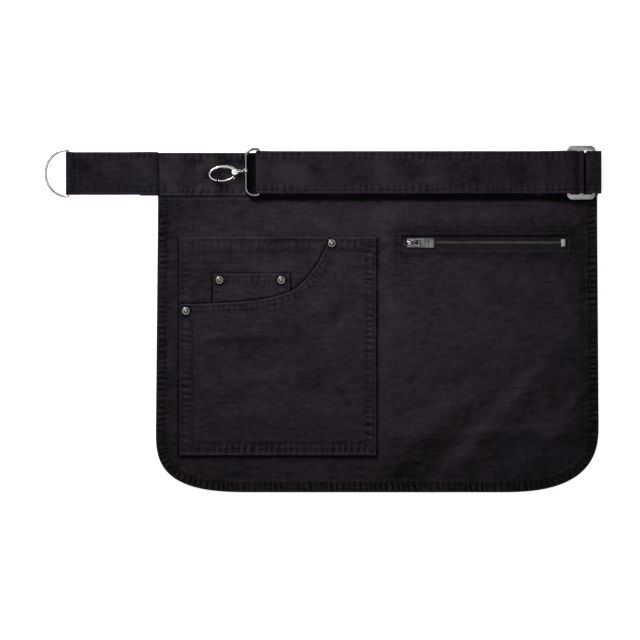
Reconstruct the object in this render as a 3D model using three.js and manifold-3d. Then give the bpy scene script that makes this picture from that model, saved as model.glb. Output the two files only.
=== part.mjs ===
// Waist apron of dark canvas, lying flat.
// Sizes are in millimetres: X runs to the right, Y up the cloth, Z out of the surface it lies on.
// Every piece is placed from the waistband's lower layer: x = 0 at the panel's left edge and
// y = 0 at the waistband's top edge, so a depth down the cloth is -y.
import * as THREE from 'three';
import { mergeVertices } from 'three/addons/utils/BufferGeometryUtils.js';
import Module from 'manifold-3d';

const wasm = await Module();
wasm.setup();

// Cloth and clearances
const clothWall = 1;
const strapWall = 1.2;
const gap = 0.3;
const softGap = 0.45;
const hemExtra = 0.9;
const hemWidth = 10;
const hemStep = 1.5;
const backHem = 0.72;
const lightHem = 0.45;
const meshSpacing = 18;

// Waistband and panel
const bandLength = 440;
const bandHeight = 43;
const bandLap = 18;
const seamAllowance = 15;
const panelDrop = 340;
const panelInset = 0.6;
const flareLeft = 2.4;
const flareRight = 1.6;
const cornerLeftWidth = 100;
const cornerLeftHeight = 62;
const cornerLeftPower = 3;
const cornerRightWidth = 99;
const cornerRightHeight = 68;
const cornerRightPower = 2.65;
const foldRise = 2.4;

// Belt strap, ring tab and their metal
const strapWidth = 42.4;
const strapDepth = 19.9;
const strapTailInBand = 24;
const strapOverhang = 3.1;
const strapFoldX = 98;
const sewnTail = 33;
const easyBend = 8;
const barBend = 1.6;
const tightBend = 1.4;
const edgeBend = 2.4;
const nestShift = 0.17;
const tabWidth = 42.8;
const tabDepth = 20.8;
const tabLength = 92.4;
const tabStep = 13;
const tabNarrow = 1.2;
const foldEase = 0.01;
const wireRadius = 1.45;
const ringSlack = 0.4;
const ringCorner = 1.8;
const ringLeftCorner = 8;
const strapRingLength = 13;
const ringReach = 24.6;

// Slide buckle
const buckleRight = 437;
const buckleWidth = 28.4;
const buckleHeight = 53.8;
const buckleSlotHeight = 44;
const buckleBar = 3.4;
const bucklePlate = 1.4;
const buckleShift = 0.4;
const buckleCorner = 3;
const slotCorner = 0.5;

// Swivel snap hook
const eyeHole = 1.8;
const eyeOuter = 3;
const eyeWidth = 3.6;
const hookTurn = 5;
const hookLength = 36.5;
const hookHalfLength = 13;
const hookHalfWidth = 7;
const hookWire = 1.25;
const hookShoulderWire = 1.9;
const gateWire = 1.1;
const gateTip = 0.8;
const bowNose = 240;
const bowEnd = 4;
const gateStart = 247;
const gateEnd = 326;
const gatePlate = 1.2;
const pivotPin = 0.8;
const washerRadius = 2.2;
const pivotBack = 11;
const hookTilt = 1.6;
const hookShift = 1.2;
const shoulder = { long: 4.2, wide: 3.7, thick: 2.3 };
const cheek = { front: 4.6, back: 2.9, low: 9, high: 2.9 };
const thumb = { x: -12.4, y: -5.9, radius: 1.35, half: 0.8 };

// Patch pocket
const pocketLeft = 21.5;
const pocketTop = 84.5;
const pocketWidth = 196.5;
const pocketHeight = 218.5;
const pocketRise = 1;
const pocketSeam = 5;
const pocketRamp = 12;
const mouthHem = 15;
const mouthGape = 1.6;
const gapeStart = 0.5;
const gapeFull = 0.72;
const gapeEase = 0.8;
const gapeEnd = 0.98;
const gapeDepth = 46;
const scoopHem = 10;
const coinLeft = 33.7;
const coinTop = 36.7;
const coinWidth = 76.5;
const coinHeight = 60;
const coinHem = 9;
const coinRise = 0.4;
const coinClear = 0.2;
const coinRamp = 9;
const rivetRadius = 4;
const rivetHeight = 1.7;
const rivetInset = 6.4;

// Zip pocket
const zipLeft = 243.7;
const zipTop = 82.7;
const zipWindowWidth = 167;
const zipWindowHeight = 15.5;
const zipMargin = 8;
const tapeSeam = 6;
const tapeOverrun = 3.5;
const tapeWall = 1;
const chainWidth = 5.6;
const chainThickness = 1.8;
const toothPitch = 4.4;
const toothDepth = 0.8;
const zipStopLength = 5;
const zipStopWidth = 8;
const zipStopPlate = 0.7;
const chainEnd = 8.3;
const chainLead = 0.7;
const sliderBack = 9.9;
const sliderLength = 9.5;
const sliderWidth = 9.2;
const sliderPlate = 0.8;
const sliderCorner = 2.6;
const sliderPost = 2;
const sliderPostHalf = 1.1;
const bailHalf = 4;
const bailRise = 3.6;
const bailWire = 0.7;
const pullLength = 21.6;
const pullWidth = 9.9;
const pullPlate = 1;
const pullNeck = 2.9;
const pullNeckEnd = 2.4;
const pullShoulder = 4.2;
const pullRound = 1.6;
const pullHole = 5.2;
const pullHoleHalf = 1.7;
const pullBar = 0.6;
const pullHang = 1.2;
const pullLift = 1.05;
const bagRise = 12.7;
const bagBottom = 276.5;
const bagCutWidth = 30;
const bagCutHeight = 39;
const bagSeam = 2.5;
const bagCavity = 0.4;
const bagRamp = 15.5;
const bagEase = 5;
const bagEdgeRamp = 15;

// Where each height comes from, stacked from the surface up
const bandSlot = strapWall + 2 * gap;
const bandTop = 2 * clothWall + bandSlot;
const slotMiddle = clothWall + bandSlot / 2;
const slotLift = slotMiddle - clothWall / 2;
const layerStep = strapWall + gap;
const strapLow = bandTop + gap + strapWall / 2;
const ringZ = bandTop + gap + eyeOuter;
const zipMiddle = clothWall + 2 * gap + sliderPlate + chainThickness / 2;
const zipLift = zipMiddle + tapeWall / 2 + gap;
const bagLift = 2 * clothWall + bagCavity + gap;

// Places along the cloth
const zipRight = zipLeft + zipWindowWidth;
const zipBottom = zipTop + zipWindowHeight;
const zipLine = zipTop + zipWindowHeight / 2;
const bagLeft = zipLeft - zipMargin;
const bagRight = zipRight + zipMargin;
const bagTop = zipTop - bagRise;
const zipPlateauEnd = zipBottom + zipMargin;
const bagFlatStart = zipPlateauEnd + 20;
const pocketRight = pocketLeft + pocketWidth;
const pocketBottom = pocketTop + pocketHeight;
const coinX = pocketLeft + coinLeft;
const coinDepth = pocketTop + coinTop;

// Broad folds of the lying panel, in shares of the waistband's length and the panel's drop,
// with the rise as a share of foldRise
const panelFolds = [
  { fromAcross: 0.641, fromDown: 0.963, toAcross: 0.914, toDown: 0.551, spread: 0.044, rise: 1 },
  { fromAcross: 0.575, fromDown: 0.846, toAcross: 0.777, toDown: 0.64, spread: 0.034, rise: 0.6 },
  { fromAcross: 0.83, fromDown: 0.94, toAcross: 0.96, toDown: 0.73, spread: 0.03, rise: 0.45 },
];

// Scooped mouth of the pocket's front layer, in shares of the pocket's width and height
const scoop = [
  { across: 0, down: 0.309 },
  { across: 0.189, down: 0.303 },
  { across: 0.401, down: 0.288 },
  { across: 0.562, down: 0.25 },
  { across: 0.63, down: 0.205 },
  { across: 0.698, down: 0.128 },
  { across: 0.74, down: 0.06 },
  { across: 0.775, down: 0 },
];

const smooth = THREE.MathUtils.smoothstep;
const mix = THREE.MathUtils.lerp;

// Turns the triangles of a closed body so that they face outwards
function faceOut(geometry) {
  const at = geometry.attributes.position;
  const corners = geometry.index.array;
  const [a, b, c] = [new THREE.Vector3(), new THREE.Vector3(), new THREE.Vector3()];
  let volume = 0;
  for (let k = 0; k < corners.length; k += 3) {
    a.fromBufferAttribute(at, corners[k]);
    b.fromBufferAttribute(at, corners[k + 1]);
    c.fromBufferAttribute(at, corners[k + 2]);
    volume += a.dot(b.cross(c));
  }
  if (volume < 0) {
    for (let k = 0; k < corners.length; k += 3) {
      [corners[k + 1], corners[k + 2]] = [corners[k + 2], corners[k + 1]];
    }
  }
  return geometry;
}

function closedBody(positions, corners) {
  const geometry = new THREE.BufferGeometry();
  geometry.setAttribute('position', new THREE.Float32BufferAttribute(positions, 3));
  geometry.setIndex(new THREE.Uint32BufferAttribute(corners, 1));
  return faceOut(geometry);
}

function welded(geometry) {
  const bare = geometry.clone();
  bare.deleteAttribute('normal');
  bare.deleteAttribute('uv');
  return faceOut(mergeVertices(bare, 1e-4));
}

function solid(geometry) {
  const body = welded(geometry);
  return new wasm.Manifold(new wasm.Mesh({
    numProp: 3,
    vertProperties: new Float32Array(body.attributes.position.array),
    triVerts: new Uint32Array(body.index.array),
  }));
}

function fromSolid(manifold) {
  const mesh = manifold.getMesh();
  return closedBody(mesh.vertProperties, Array.from(mesh.triVerts));
}

function box(x0, x1, y0, y1, z0, z1) {
  const geometry = new THREE.BoxGeometry(x1 - x0, y1 - y0, z1 - z0);
  return geometry.translate((x0 + x1) / 2, (y0 + y1) / 2, (z0 + z1) / 2);
}

function plate(shape, bottom, top, curveSegments = 6) {
  const geometry = new THREE.ExtrudeGeometry(shape, { depth: top - bottom, bevelEnabled: false, curveSegments });
  return welded(geometry.translate(0, 0, bottom));
}

// A section drawn in the Y-Z plane and run along X
function runAlongX(shape, x0, x1, curveSegments = 6) {
  const geometry = new THREE.ExtrudeGeometry(shape, { depth: x1 - x0, bevelEnabled: false, curveSegments });
  geometry.applyMatrix4(new THREE.Matrix4().set(0, 0, 1, x0, 1, 0, 0, 0, 0, 1, 0, 0, 0, 0, 0, 1));
  return welded(geometry);
}

function polygon(points) {
  return new THREE.Shape(points.map(([x, y]) => new THREE.Vector2(x, y)));
}

function roundedRectangle(x0, x1, y0, y1, radius) {
  const shape = new THREE.Shape();
  shape.moveTo(x0 + radius, y0);
  shape.lineTo(x1 - radius, y0);
  shape.absarc(x1 - radius, y0 + radius, radius, -Math.PI / 2, 0, false);
  shape.lineTo(x1, y1 - radius);
  shape.absarc(x1 - radius, y1 - radius, radius, 0, Math.PI / 2, false);
  shape.lineTo(x0 + radius, y1);
  shape.absarc(x0 + radius, y1 - radius, radius, Math.PI / 2, Math.PI, false);
  shape.lineTo(x0, y0 + radius);
  shape.absarc(x0 + radius, y0 + radius, radius, Math.PI, 1.5 * Math.PI, false);
  return shape;
}

// Joins rings of points into a tube, closed on itself or with flat ends
function tubeFromRings(rings, closed) {
  const sides = rings[0].length;
  const positions = rings.flat().flatMap((point) => point.toArray());
  const corners = [];
  const spans = closed ? rings.length : rings.length - 1;
  for (let r = 0; r < spans; r += 1) {
    const near = r * sides;
    const far = ((r + 1) % rings.length) * sides;
    for (let s = 0; s < sides; s += 1) {
      const next = (s + 1) % sides;
      corners.push(near + s, near + next, far + next, near + s, far + next, far + s);
    }
  }
  if (!closed) {
    const last = (rings.length - 1) * sides;
    for (let s = 1; s < sides - 1; s += 1) {
      corners.push(0, s + 1, s, last, last + s, last + s + 1);
    }
  }
  return closedBody(positions, corners);
}

// A round wire along points in the X-Y plane, with a radius for each point
function wire(points, radii, closed, sides = 8) {
  const count = points.length;
  const rings = points.map((point, k) => {
    const before = points[closed ? (k + count - 1) % count : Math.max(k - 1, 0)];
    const after = points[closed ? (k + 1) % count : Math.min(k + 1, count - 1)];
    const along = after.clone().sub(before).normalize();
    const across = new THREE.Vector2(-along.y, along.x);
    const radius = Array.isArray(radii) ? radii[k] : radii;
    return Array.from({ length: sides }, (_, s) => {
      const turn = 2 * Math.PI * (s + 0.5) / sides;
      const out = radius * Math.cos(turn);
      return new THREE.Vector3(point.x + across.x * out, point.y + across.y * out, radius * Math.sin(turn));
    });
  });
  return tubeFromRings(rings, closed);
}

// A chain of straight runs whose corners are rounded with arcs, as evenly turned points
function roundedRoute(stations, arcSteps = 5) {
  const points = [stations[0].at.clone()];
  for (let k = 1; k < stations.length - 1; k += 1) {
    const { at, radius } = stations[k];
    const back = stations[k - 1].at.clone().sub(at).normalize();
    const ahead = stations[k + 1].at.clone().sub(at).normalize();
    const half = Math.acos(THREE.MathUtils.clamp(back.dot(ahead), -1, 1)) / 2;
    const trim = radius / Math.tan(half);
    const middle = back.clone().add(ahead).normalize().multiplyScalar(radius / Math.sin(half)).add(at);
    const start = at.clone().addScaledVector(back, trim).sub(middle);
    const end = at.clone().addScaledVector(ahead, trim).sub(middle);
    const sweep = Math.atan2(start.cross(end), start.dot(end));
    const steps = Math.max(1, Math.ceil(arcSteps * Math.abs(sweep) / (Math.PI / 2)));
    for (let s = 0; s <= steps; s += 1) {
      points.push(start.clone().rotateAround(new THREE.Vector2(), sweep * s / steps).add(middle));
    }
  }
  points.push(stations[stations.length - 1].at.clone());
  return points;
}

function station(x, z, radius = 0) {
  return { at: new THREE.Vector2(x, z), radius };
}

// A flat cloth strap whose route lies in the X-Z plane; sidesAt gives its two edges for each point
function ribbon(points, wall, sidesAt) {
  const rings = points.map((point, k) => {
    const before = points[Math.max(k - 1, 0)];
    const after = points[Math.min(k + 1, points.length - 1)];
    const along = after.clone().sub(before).normalize();
    const lift = new THREE.Vector2(-along.y, along.x).multiplyScalar(wall / 2);
    const [low, high] = sidesAt(point, k);
    return [
      new THREE.Vector3(point.x + lift.x, low, point.y + lift.y),
      new THREE.Vector3(point.x + lift.x, high, point.y + lift.y),
      new THREE.Vector3(point.x - lift.x, high, point.y - lift.y),
      new THREE.Vector3(point.x - lift.x, low, point.y - lift.y),
    ];
  });
  return tubeFromRings(rings, false);
}

// Rising values that hold each stop, with no step longer than the spacing
function fill(stops, spacing) {
  const values = [stops[0]];
  for (let k = 1; k < stops.length; k += 1) {
    const start = stops[k - 1];
    const steps = Math.ceil((stops[k] - start) / spacing - 1e-6);
    for (let s = 1; s <= steps; s += 1) {
      values.push(start + (stops[k] - start) * s / steps);
    }
  }
  return values;
}

function lengthsAlong(points) {
  const lengths = [0];
  for (let k = 1; k < points.length; k += 1) {
    lengths.push(lengths[k - 1] + points[k].distanceTo(points[k - 1]));
  }
  return lengths;
}

// Points at given shares of a polyline's length
function resample(points, shares) {
  const lengths = lengthsAlong(points);
  const total = lengths[lengths.length - 1];
  return shares.map((share) => {
    const wanted = THREE.MathUtils.clamp(share, 0, 1) * total;
    let k = 1;
    while (k < points.length - 1 && lengths[k] < wanted) k += 1;
    const local = (wanted - lengths[k - 1]) / (lengths[k] - lengths[k - 1]);
    return points[k - 1].clone().lerp(points[k], local);
  });
}

// Moves an open line of points to its left-hand side
function offsetLine(points, distance) {
  return points.map((point, k) => {
    const before = points[Math.max(k - 1, 0)];
    const after = points[Math.min(k + 1, points.length - 1)];
    const along = after.clone().sub(before).normalize();
    return new THREE.Vector2(point.x - along.y * distance, point.y + along.x * distance);
  });
}

// Rows of points between four edges; left and right run from the top row to the bottom row
function patch(top, bottom, left, right, across, down) {
  return down.map((v, j) => across.map((u, i) => {
    const ends = left[j].clone().multiplyScalar(1 - u).addScaledVector(right[j], u);
    const sides = top[i].clone().multiplyScalar(1 - v).addScaledVector(bottom[i], v);
    const upper = top[0].clone().multiplyScalar(1 - u).addScaledVector(top[top.length - 1], u);
    const lower = bottom[0].clone().multiplyScalar(1 - u).addScaledVector(bottom[bottom.length - 1], u);
    return ends.add(sides).sub(upper.multiplyScalar(1 - v)).sub(lower.multiplyScalar(v));
  }));
}

// A cloth layer: patches of points, thickened between two height functions
class Layer {
  constructor() {
    this.points = [];
    this.hems = [];
    this.found = new Map();
    this.quads = [];
  }

  index(point, hem) {
    const key = `${point.x.toFixed(3)},${point.y.toFixed(3)}`;
    if (!this.found.has(key)) {
      this.found.set(key, this.points.length);
      this.points.push(point);
      this.hems.push(hem);
    }
    return this.found.get(key);
  }

  // Rows run down the cloth; hems gives each row's share of the hem's extra thickness
  add(rows, hems) {
    const indexed = rows.map((row, j) => row.map((point) => this.index(point, hems[j])));
    for (let j = 1; j < rows.length; j += 1) {
      for (let i = 1; i < rows[j].length; i += 1) {
        this.quads.push([indexed[j][i - 1], indexed[j][i], indexed[j - 1][i], indexed[j - 1][i - 1]]);
      }
    }
  }

  thicken(bottomAt, topAt) {
    const count = this.points.length;
    const tops = this.points.flatMap((p, k) => [p.x, p.y, topAt(p.x, p.y, this.hems[k])]);
    const bottoms = this.points.flatMap((p, k) => [p.x, p.y, bottomAt(p.x, p.y, this.hems[k])]);
    const corners = [];
    const edges = new Set();
    for (const [a, b, c, d] of this.quads) {
      corners.push(a, b, c, a, c, d);
      corners.push(count + a, count + c, count + b, count + a, count + d, count + c);
      [[a, b], [b, c], [c, d], [d, a]].forEach(([from, to]) => edges.add(`${from},${to}`));
    }
    for (const edge of edges) {
      const [from, to] = edge.split(',').map(Number);
      if (!edges.has(`${to},${from}`)) {
        corners.push(to, from, count + from, to, count + from, count + to);
      }
    }
    return closedBody([...tops, ...bottoms], corners);
  }
}

// Height of the panel's underside
function bagHeight(depth) {
  return mix(zipLift, bagLift, smooth(depth, zipPlateauEnd, bagFlatStart));
}

function foldHeight(x, y) {
  const clearOfPocket = smooth(x, pocketRight + 3, pocketRight + 30);
  const fromEdge = Math.min(bandLength - x, panelDrop + y);
  const clearOfEdge = smooth(fromEdge, hemWidth, hemWidth + 26);
  let rise = 0;
  for (const fold of panelFolds) {
    const start = new THREE.Vector2(fold.fromAcross * bandLength, -fold.fromDown * panelDrop);
    const end = new THREE.Vector2(fold.toAcross * bandLength, -fold.toDown * panelDrop);
    const run = end.clone().sub(start);
    const away = new THREE.Vector2(x, y).sub(start);
    const share = THREE.MathUtils.clamp(away.dot(run) / run.lengthSq(), 0, 1);
    const distance = away.addScaledVector(run, -share).length();
    rise += fold.rise * foldRise * Math.exp(-((distance / (fold.spread * bandLength)) ** 2));
  }
  return rise * clearOfPocket * clearOfEdge;
}

function panelLift(x, y) {
  const depth = -y;
  const across = smooth(x, bagLeft - bagRamp, bagLeft) * (1 - smooth(x, bagRight, bagRight + bagEdgeRamp));
  const down = 1 - smooth(depth, bagBottom + bagEase, bagBottom + bagEase + bagRamp);
  const below = bagHeight(depth) * across * down + foldHeight(x, y);
  return mix(slotLift, below, smooth(depth, bandHeight + 3, bagTop));
}

// Half of a lower corner's superellipse, from its side to its middle or on to the bottom edge
function cornerCurve(sideX, inward, width, height, power, from, to) {
  const points = [];
  const steps = 8;
  for (let k = 0; k <= steps; k += 1) {
    const turn = mix(from, to, k / steps) * Math.PI / 2;
    const x = sideX + inward * width * (1 - Math.cos(turn) ** (2 / power));
    const y = -(panelDrop - height) - height * Math.sin(turn) ** (2 / power);
    points.push(new THREE.Vector2(x, y));
  }
  return points;
}

function panelLayer() {
  const top = -(bandHeight - seamAllowance);
  const rightTop = bandLength - panelInset;
  const leftSide = [new THREE.Vector2(0, top),
    ...cornerCurve(-flareLeft, 1, cornerLeftWidth, cornerLeftHeight, cornerLeftPower, 0, 0.5)];
  const rightSide = [new THREE.Vector2(rightTop, top),
    ...cornerCurve(rightTop + flareRight, -1, cornerRightWidth, cornerRightHeight, cornerRightPower, 0, 0.5)];
  const bottomEdge = [
    ...cornerCurve(-flareLeft, 1, cornerLeftWidth, cornerLeftHeight, cornerLeftPower, 0.5, 1),
    ...cornerCurve(rightTop + flareRight, -1, cornerRightWidth, cornerRightHeight, cornerRightPower, 1, 0.5),
  ];
  const depthStops = [bandHeight - seamAllowance, bandHeight, bandHeight + 3, bagTop, zipPlateauEnd,
    bagFlatStart, bagBottom + bagEase, bagBottom + bagEase + bagRamp].map((depth) => depth + top);
  const columnStops = [hemWidth + hemStep, bagLeft - bagRamp, bagLeft, bagRight, rightTop - hemWidth - hemStep];
  const columns = fill(columnStops, meshSpacing);
  const across = columns.map((x) => (x - columns[0]) / (columns[columns.length - 1] - columns[0]));
  const rowsTo = (side) => {
    const lengths = lengthsAlong(side);
    const total = lengths[lengths.length - 1];
    const rows = fill(depthStops, meshSpacing);
    const last = rows[rows.length - 1];
    return [...rows, mix(last, total, 0.34), mix(last, total, 0.67), total].map((length) => length / total);
  };
  const downLeft = rowsTo(leftSide);
  const left = resample(leftSide, downLeft);
  const right = resample(rightSide, rowsTo(rightSide));
  const bottom = resample(bottomEdge, across);
  const outline = [...left, ...bottom.slice(1, -1), ...right.slice().reverse()];
  const loops = [0, hemWidth, hemWidth + hemStep].map((distance) => {
    const loop = offsetLine(outline, distance);
    loop[0].y = top;
    loop[loop.length - 1].y = top;
    return loop;
  });
  const layer = new Layer();
  layer.add([...loops].reverse(), [0, 1, 1]);
  const inner = loops[2];
  const last = left.length - 1;
  const innerLeft = inner.slice(0, last + 1);
  const innerBottom = inner.slice(last, last + across.length);
  const innerRight = inner.slice(last + across.length - 1).reverse();
  const innerTop = across.map((u) => new THREE.Vector2(mix(innerLeft[0].x, innerRight[0].x, u), top));
  const rows = patch(innerTop, innerBottom, innerLeft, innerRight, across, downLeft);
  layer.add(rows, rows.map(() => 0));
  return layer;
}

function apronPanel() {
  const panel = panelLayer().thicken(
    (x, y) => panelLift(x, y),
    (x, y, hem) => panelLift(x, y) + clothWall + hemExtra * hem * smooth(-y, bandHeight, bandHeight + 4),
  );
  const tailRoom = box(
    bandLength - strapTailInBand - 2 * gap, bandLength + strapOverhang,
    -(strapDepth + strapWidth / 2) - softGap, 0, 0, bandTop,
  );
  const zipWindow = box(zipLeft, zipRight, -zipBottom, -zipTop, 0, zipLift + 2 * clothWall);
  return fromSolid(solid(panel).subtract(solid(tailRoom)).subtract(solid(zipWindow)));
}

// The band's section: two walls joined by a round fold along its top edge
function waistband() {
  const outer = bandTop / 2;
  const inner = bandSlot / 2;
  const section = new THREE.Shape();
  section.moveTo(-bandHeight, 0);
  section.lineTo(-outer, 0);
  section.absarc(-outer, outer, outer, -Math.PI / 2, Math.PI / 2, false);
  section.lineTo(-bandHeight, bandTop);
  section.lineTo(-bandHeight, bandTop - clothWall);
  section.lineTo(-outer, bandTop - clothWall);
  section.absarc(-outer, outer, inner, Math.PI / 2, -Math.PI / 2, true);
  section.lineTo(-bandHeight, clothWall);
  return runAlongX(section, -bandLap, bandLength);
}

// Edges of a strap that narrows where it lies inside the waistband's fold
function strapSides(depth, width, narrow) {
  const high = mix(-depth + width / 2, Math.min(-depth + width / 2, -bandTop / 2 - gap), narrow);
  const low = mix(-depth - width / 2, Math.max(-depth - width / 2, -bandHeight + gap), narrow);
  return [low, high];
}

const tabRingX = -tabLength + wireRadius + gap + strapWall;
const tabRingZ = wireRadius + gap + strapWall;

function ringTab() {
  const low = strapWall / 2;
  const turn = wireRadius + gap + strapWall / 2;
  const foldX = tabRingX - turn;
  const onBand = bandTop + gap + strapWall / 2;
  const route = roundedRoute([
    station(-clothWall, slotMiddle),
    station(-bandLap - 2 * clothWall, slotMiddle, easyBend),
    station(-bandLap - tabStep, low, easyBend),
    station(foldX, low, turn - foldEase),
    station(foldX, low + 2 * turn, turn - foldEase),
    station(tabRingX + wireRadius, low + 2 * turn, barBend),
    station(tabRingX + wireRadius + 4 * strapWall, low + layerStep, edgeBend),
    station(-bandLap - tabStep + clothWall, low + layerStep, easyBend),
    station(-bandLap - layerStep, onBand, easyBend * 0.75),
    station(0, onBand),
  ]);
  return ribbon(route, strapWall, (point) => {
    const inBand = point.y < bandTop - gap ? smooth(point.x, -bandLap - tabNarrow - 2, -bandLap - tabNarrow) : 0;
    return strapSides(tabDepth, tabWidth, inBand);
  });
}

// Slide buckle bars, from its right edge
const buckleLeft = buckleRight - buckleWidth;
const buckleMiddle = (buckleLeft + buckleRight) / 2;
const strapRingX = strapFoldX + strapWall + gap + wireRadius;
const underBar = strapLow + layerStep;
const buckleZ = underBar + strapWall / 2 + gap;
const overBar = buckleZ + bucklePlate + gap + strapWall / 2;

function beltStrap() {
  const endX = bandLength + strapOverhang - strapWall / 2;
  const centreEdge = buckleMiddle + buckleBar / 2 + gap + strapWall / 2;
  const leftBarEdge = buckleLeft + buckleBar;
  const turn = ringZ - strapLow;
  const ringFold = strapRingX - turn;
  const tailX = buckleMiddle - buckleBar / 2 - sewnTail;
  // A point of the route: so many strap walls past an edge, at a height, with its bend
  const past = (edge, walls, z, bend) => station(edge + walls * strapWall, z, bend);
  const climb = (layer, high, low) => [
    past(buckleLeft, -1.3 - layer * nestShift, high, easyBend),
    past(leftBarEdge, -16.5 - layer * nestShift, low, easyBend),
  ];
  const route = roundedRoute([
    station(bandLength - strapTailInBand, slotMiddle),
    station(endX, slotMiddle, edgeBend),
    station(endX, overBar, edgeBend),
    past(centreEdge, 3, overBar, barBend),
    past(centreEdge, 2.25, strapLow, barBend),
    past(leftBarEdge, 2.8, strapLow, tightBend),
    past(leftBarEdge, 1.25, overBar, tightBend),
    ...climb(0, overBar, strapLow),
    station(ringFold, strapLow, turn - foldEase),
    station(ringFold, strapLow + 2 * turn, turn - foldEase),
    past(strapRingX, 2, strapLow + 2 * turn, easyBend / 2),
    past(strapRingX, 11, strapLow + layerStep, easyBend),
    past(tailX, -7.5, strapLow + layerStep, easyBend),
    past(tailX, -1.7, strapLow + 2 * layerStep, easyBend),
    ...climb(2, overBar + 2 * layerStep, strapLow + 2 * layerStep).reverse(),
    past(leftBarEdge, 2.2, overBar + 2 * layerStep, barBend),
    past(buckleMiddle - buckleBar / 2, -0.8, overBar, barBend),
    station(centreEdge, overBar, tightBend),
    station(centreEdge, underBar, tightBend),
    past(leftBarEdge, 3.75, underBar, tightBend),
    past(leftBarEdge, 2.2, overBar + layerStep, tightBend),
    ...climb(1, overBar + layerStep, underBar),
    station(tailX, underBar),
  ], 4);
  return ribbon(route, strapWall, (point) => {
    const inBand = point.x > bandLength - strapTailInBand - 1 ? 1 - smooth(point.y, bandTop, bandTop + 2) : 0;
    return strapSides(strapDepth, strapWidth, inBand);
  });
}

function slideBuckle() {
  const middle = -(strapDepth + buckleShift);
  const outline = roundedRectangle(
    buckleLeft, buckleRight, middle - buckleHeight / 2, middle + buckleHeight / 2, buckleCorner,
  );
  const slotWidth = (buckleWidth - 3 * buckleBar) / 2;
  for (const left of [buckleLeft + buckleBar, buckleMiddle + buckleBar / 2]) {
    const hole = roundedRectangle(
      left, left + slotWidth, middle - buckleSlotHeight / 2, middle + buckleSlotHeight / 2, slotCorner,
    );
    outline.holes.push(new THREE.Path(hole.getPoints(3)));
  }
  return plate(outline, buckleZ, buckleZ + bucklePlate, 4);
}

// Round wire bent to a D: a straight bar on its own axis at x = 0 and a round side to the left
function dRing() {
  const half = tabWidth / 2 + gap + wireRadius;
  const reach = ringReach - wireRadius;
  const outline = new THREE.Path();
  outline.moveTo(0, -half + ringCorner);
  outline.lineTo(0, half - ringCorner);
  outline.absarc(-ringCorner, half - ringCorner, ringCorner, 0, Math.PI / 2, false);
  outline.absellipse(-ringCorner, 0, reach - ringCorner, half, Math.PI / 2, 1.5 * Math.PI, false, 0);
  outline.absarc(-ringCorner, -half + ringCorner, ringCorner, -Math.PI / 2, 0, false);
  return wire(uniquePoints(outline.getPoints(10)), wireRadius, true);
}

function uniquePoints(points) {
  return points.filter((point, k) => {
    const before = points[(k + points.length - 1) % points.length];
    return point.distanceTo(before) > 0.05;
  });
}

// Rectangular loop: its right bar on its own axis at x = 0, wide round corners on the left
function strapRing() {
  const half = strapWidth / 2 + ringSlack + wireRadius;
  const outline = new THREE.Path();
  outline.moveTo(0, -half + ringCorner);
  outline.lineTo(0, half - ringCorner);
  outline.absarc(-ringCorner, half - ringCorner, ringCorner, 0, Math.PI / 2, false);
  outline.absarc(-strapRingLength + ringLeftCorner, half - ringLeftCorner, ringLeftCorner,
    Math.PI / 2, Math.PI, false);
  outline.absarc(-strapRingLength + ringLeftCorner, -half + ringLeftCorner, ringLeftCorner,
    Math.PI, 1.5 * Math.PI, false);
  outline.absarc(-ringCorner, -half + ringCorner, ringCorner, -Math.PI / 2, 0, false);
  return wire(uniquePoints(outline.getPoints(5)), wireRadius, true);
}

// A turned profile about the X axis, given as [x, radius] rows
function turnedAlongX(rows, segments = 12) {
  const profile = rows.map(([x, radius]) => new THREE.Vector2(radius, x));
  return welded(new THREE.LatheGeometry(profile, segments).rotateZ(-Math.PI / 2));
}

function pinAlongZ(x, y, radius, z0, z1, segments = 12) {
  const pin = new THREE.CylinderGeometry(radius, radius, z1 - z0, segments);
  return pin.rotateX(Math.PI / 2).translate(x, y, (z0 + z1) / 2);
}

// The hook's pieces are drawn about its eye, with the hook along -X
const stemRadius = 1.1;
const stemEnd = -7.2;
const collarFront = -4;
const collarProfile = [[-9, 0], [-9, 2.6], [-6.4, 2.4], [-5, 1.9], [collarFront, 1.9], [collarFront, 0]];
const ovalX = -(hookLength - hookHalfLength);
const ovalY = -0.8;

function hookEye() {
  const edge = 0.5;
  const profile = [
    [eyeHole, -eyeWidth / 2], [eyeOuter - edge, -eyeWidth / 2], [eyeOuter, -eyeWidth / 2 + edge],
    [eyeOuter, eyeWidth / 2 - edge], [eyeOuter - edge, eyeWidth / 2], [eyeHole, eyeWidth / 2],
    [eyeHole, -eyeWidth / 2],
  ].map(([radius, y]) => new THREE.Vector2(radius, y));
  const ring = welded(new THREE.LatheGeometry(profile, 20));
  const stem = turnedAlongX([[stemEnd, 0], [stemEnd, stemRadius], [-eyeOuter + 0.6, stemRadius], [-eyeOuter + 0.6, 0]]);
  return fromSolid(solid(ring).add(solid(stem)));
}

function ovalPoint(degrees) {
  const turn = THREE.MathUtils.degToRad(degrees);
  return new THREE.Vector2(ovalX + hookHalfLength * Math.cos(turn), ovalY + hookHalfWidth * Math.sin(turn));
}

function ovalArc(from, to, steps) {
  return Array.from({ length: steps + 1 }, (_, k) => ovalPoint(mix(from, to, k / steps)));
}

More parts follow.
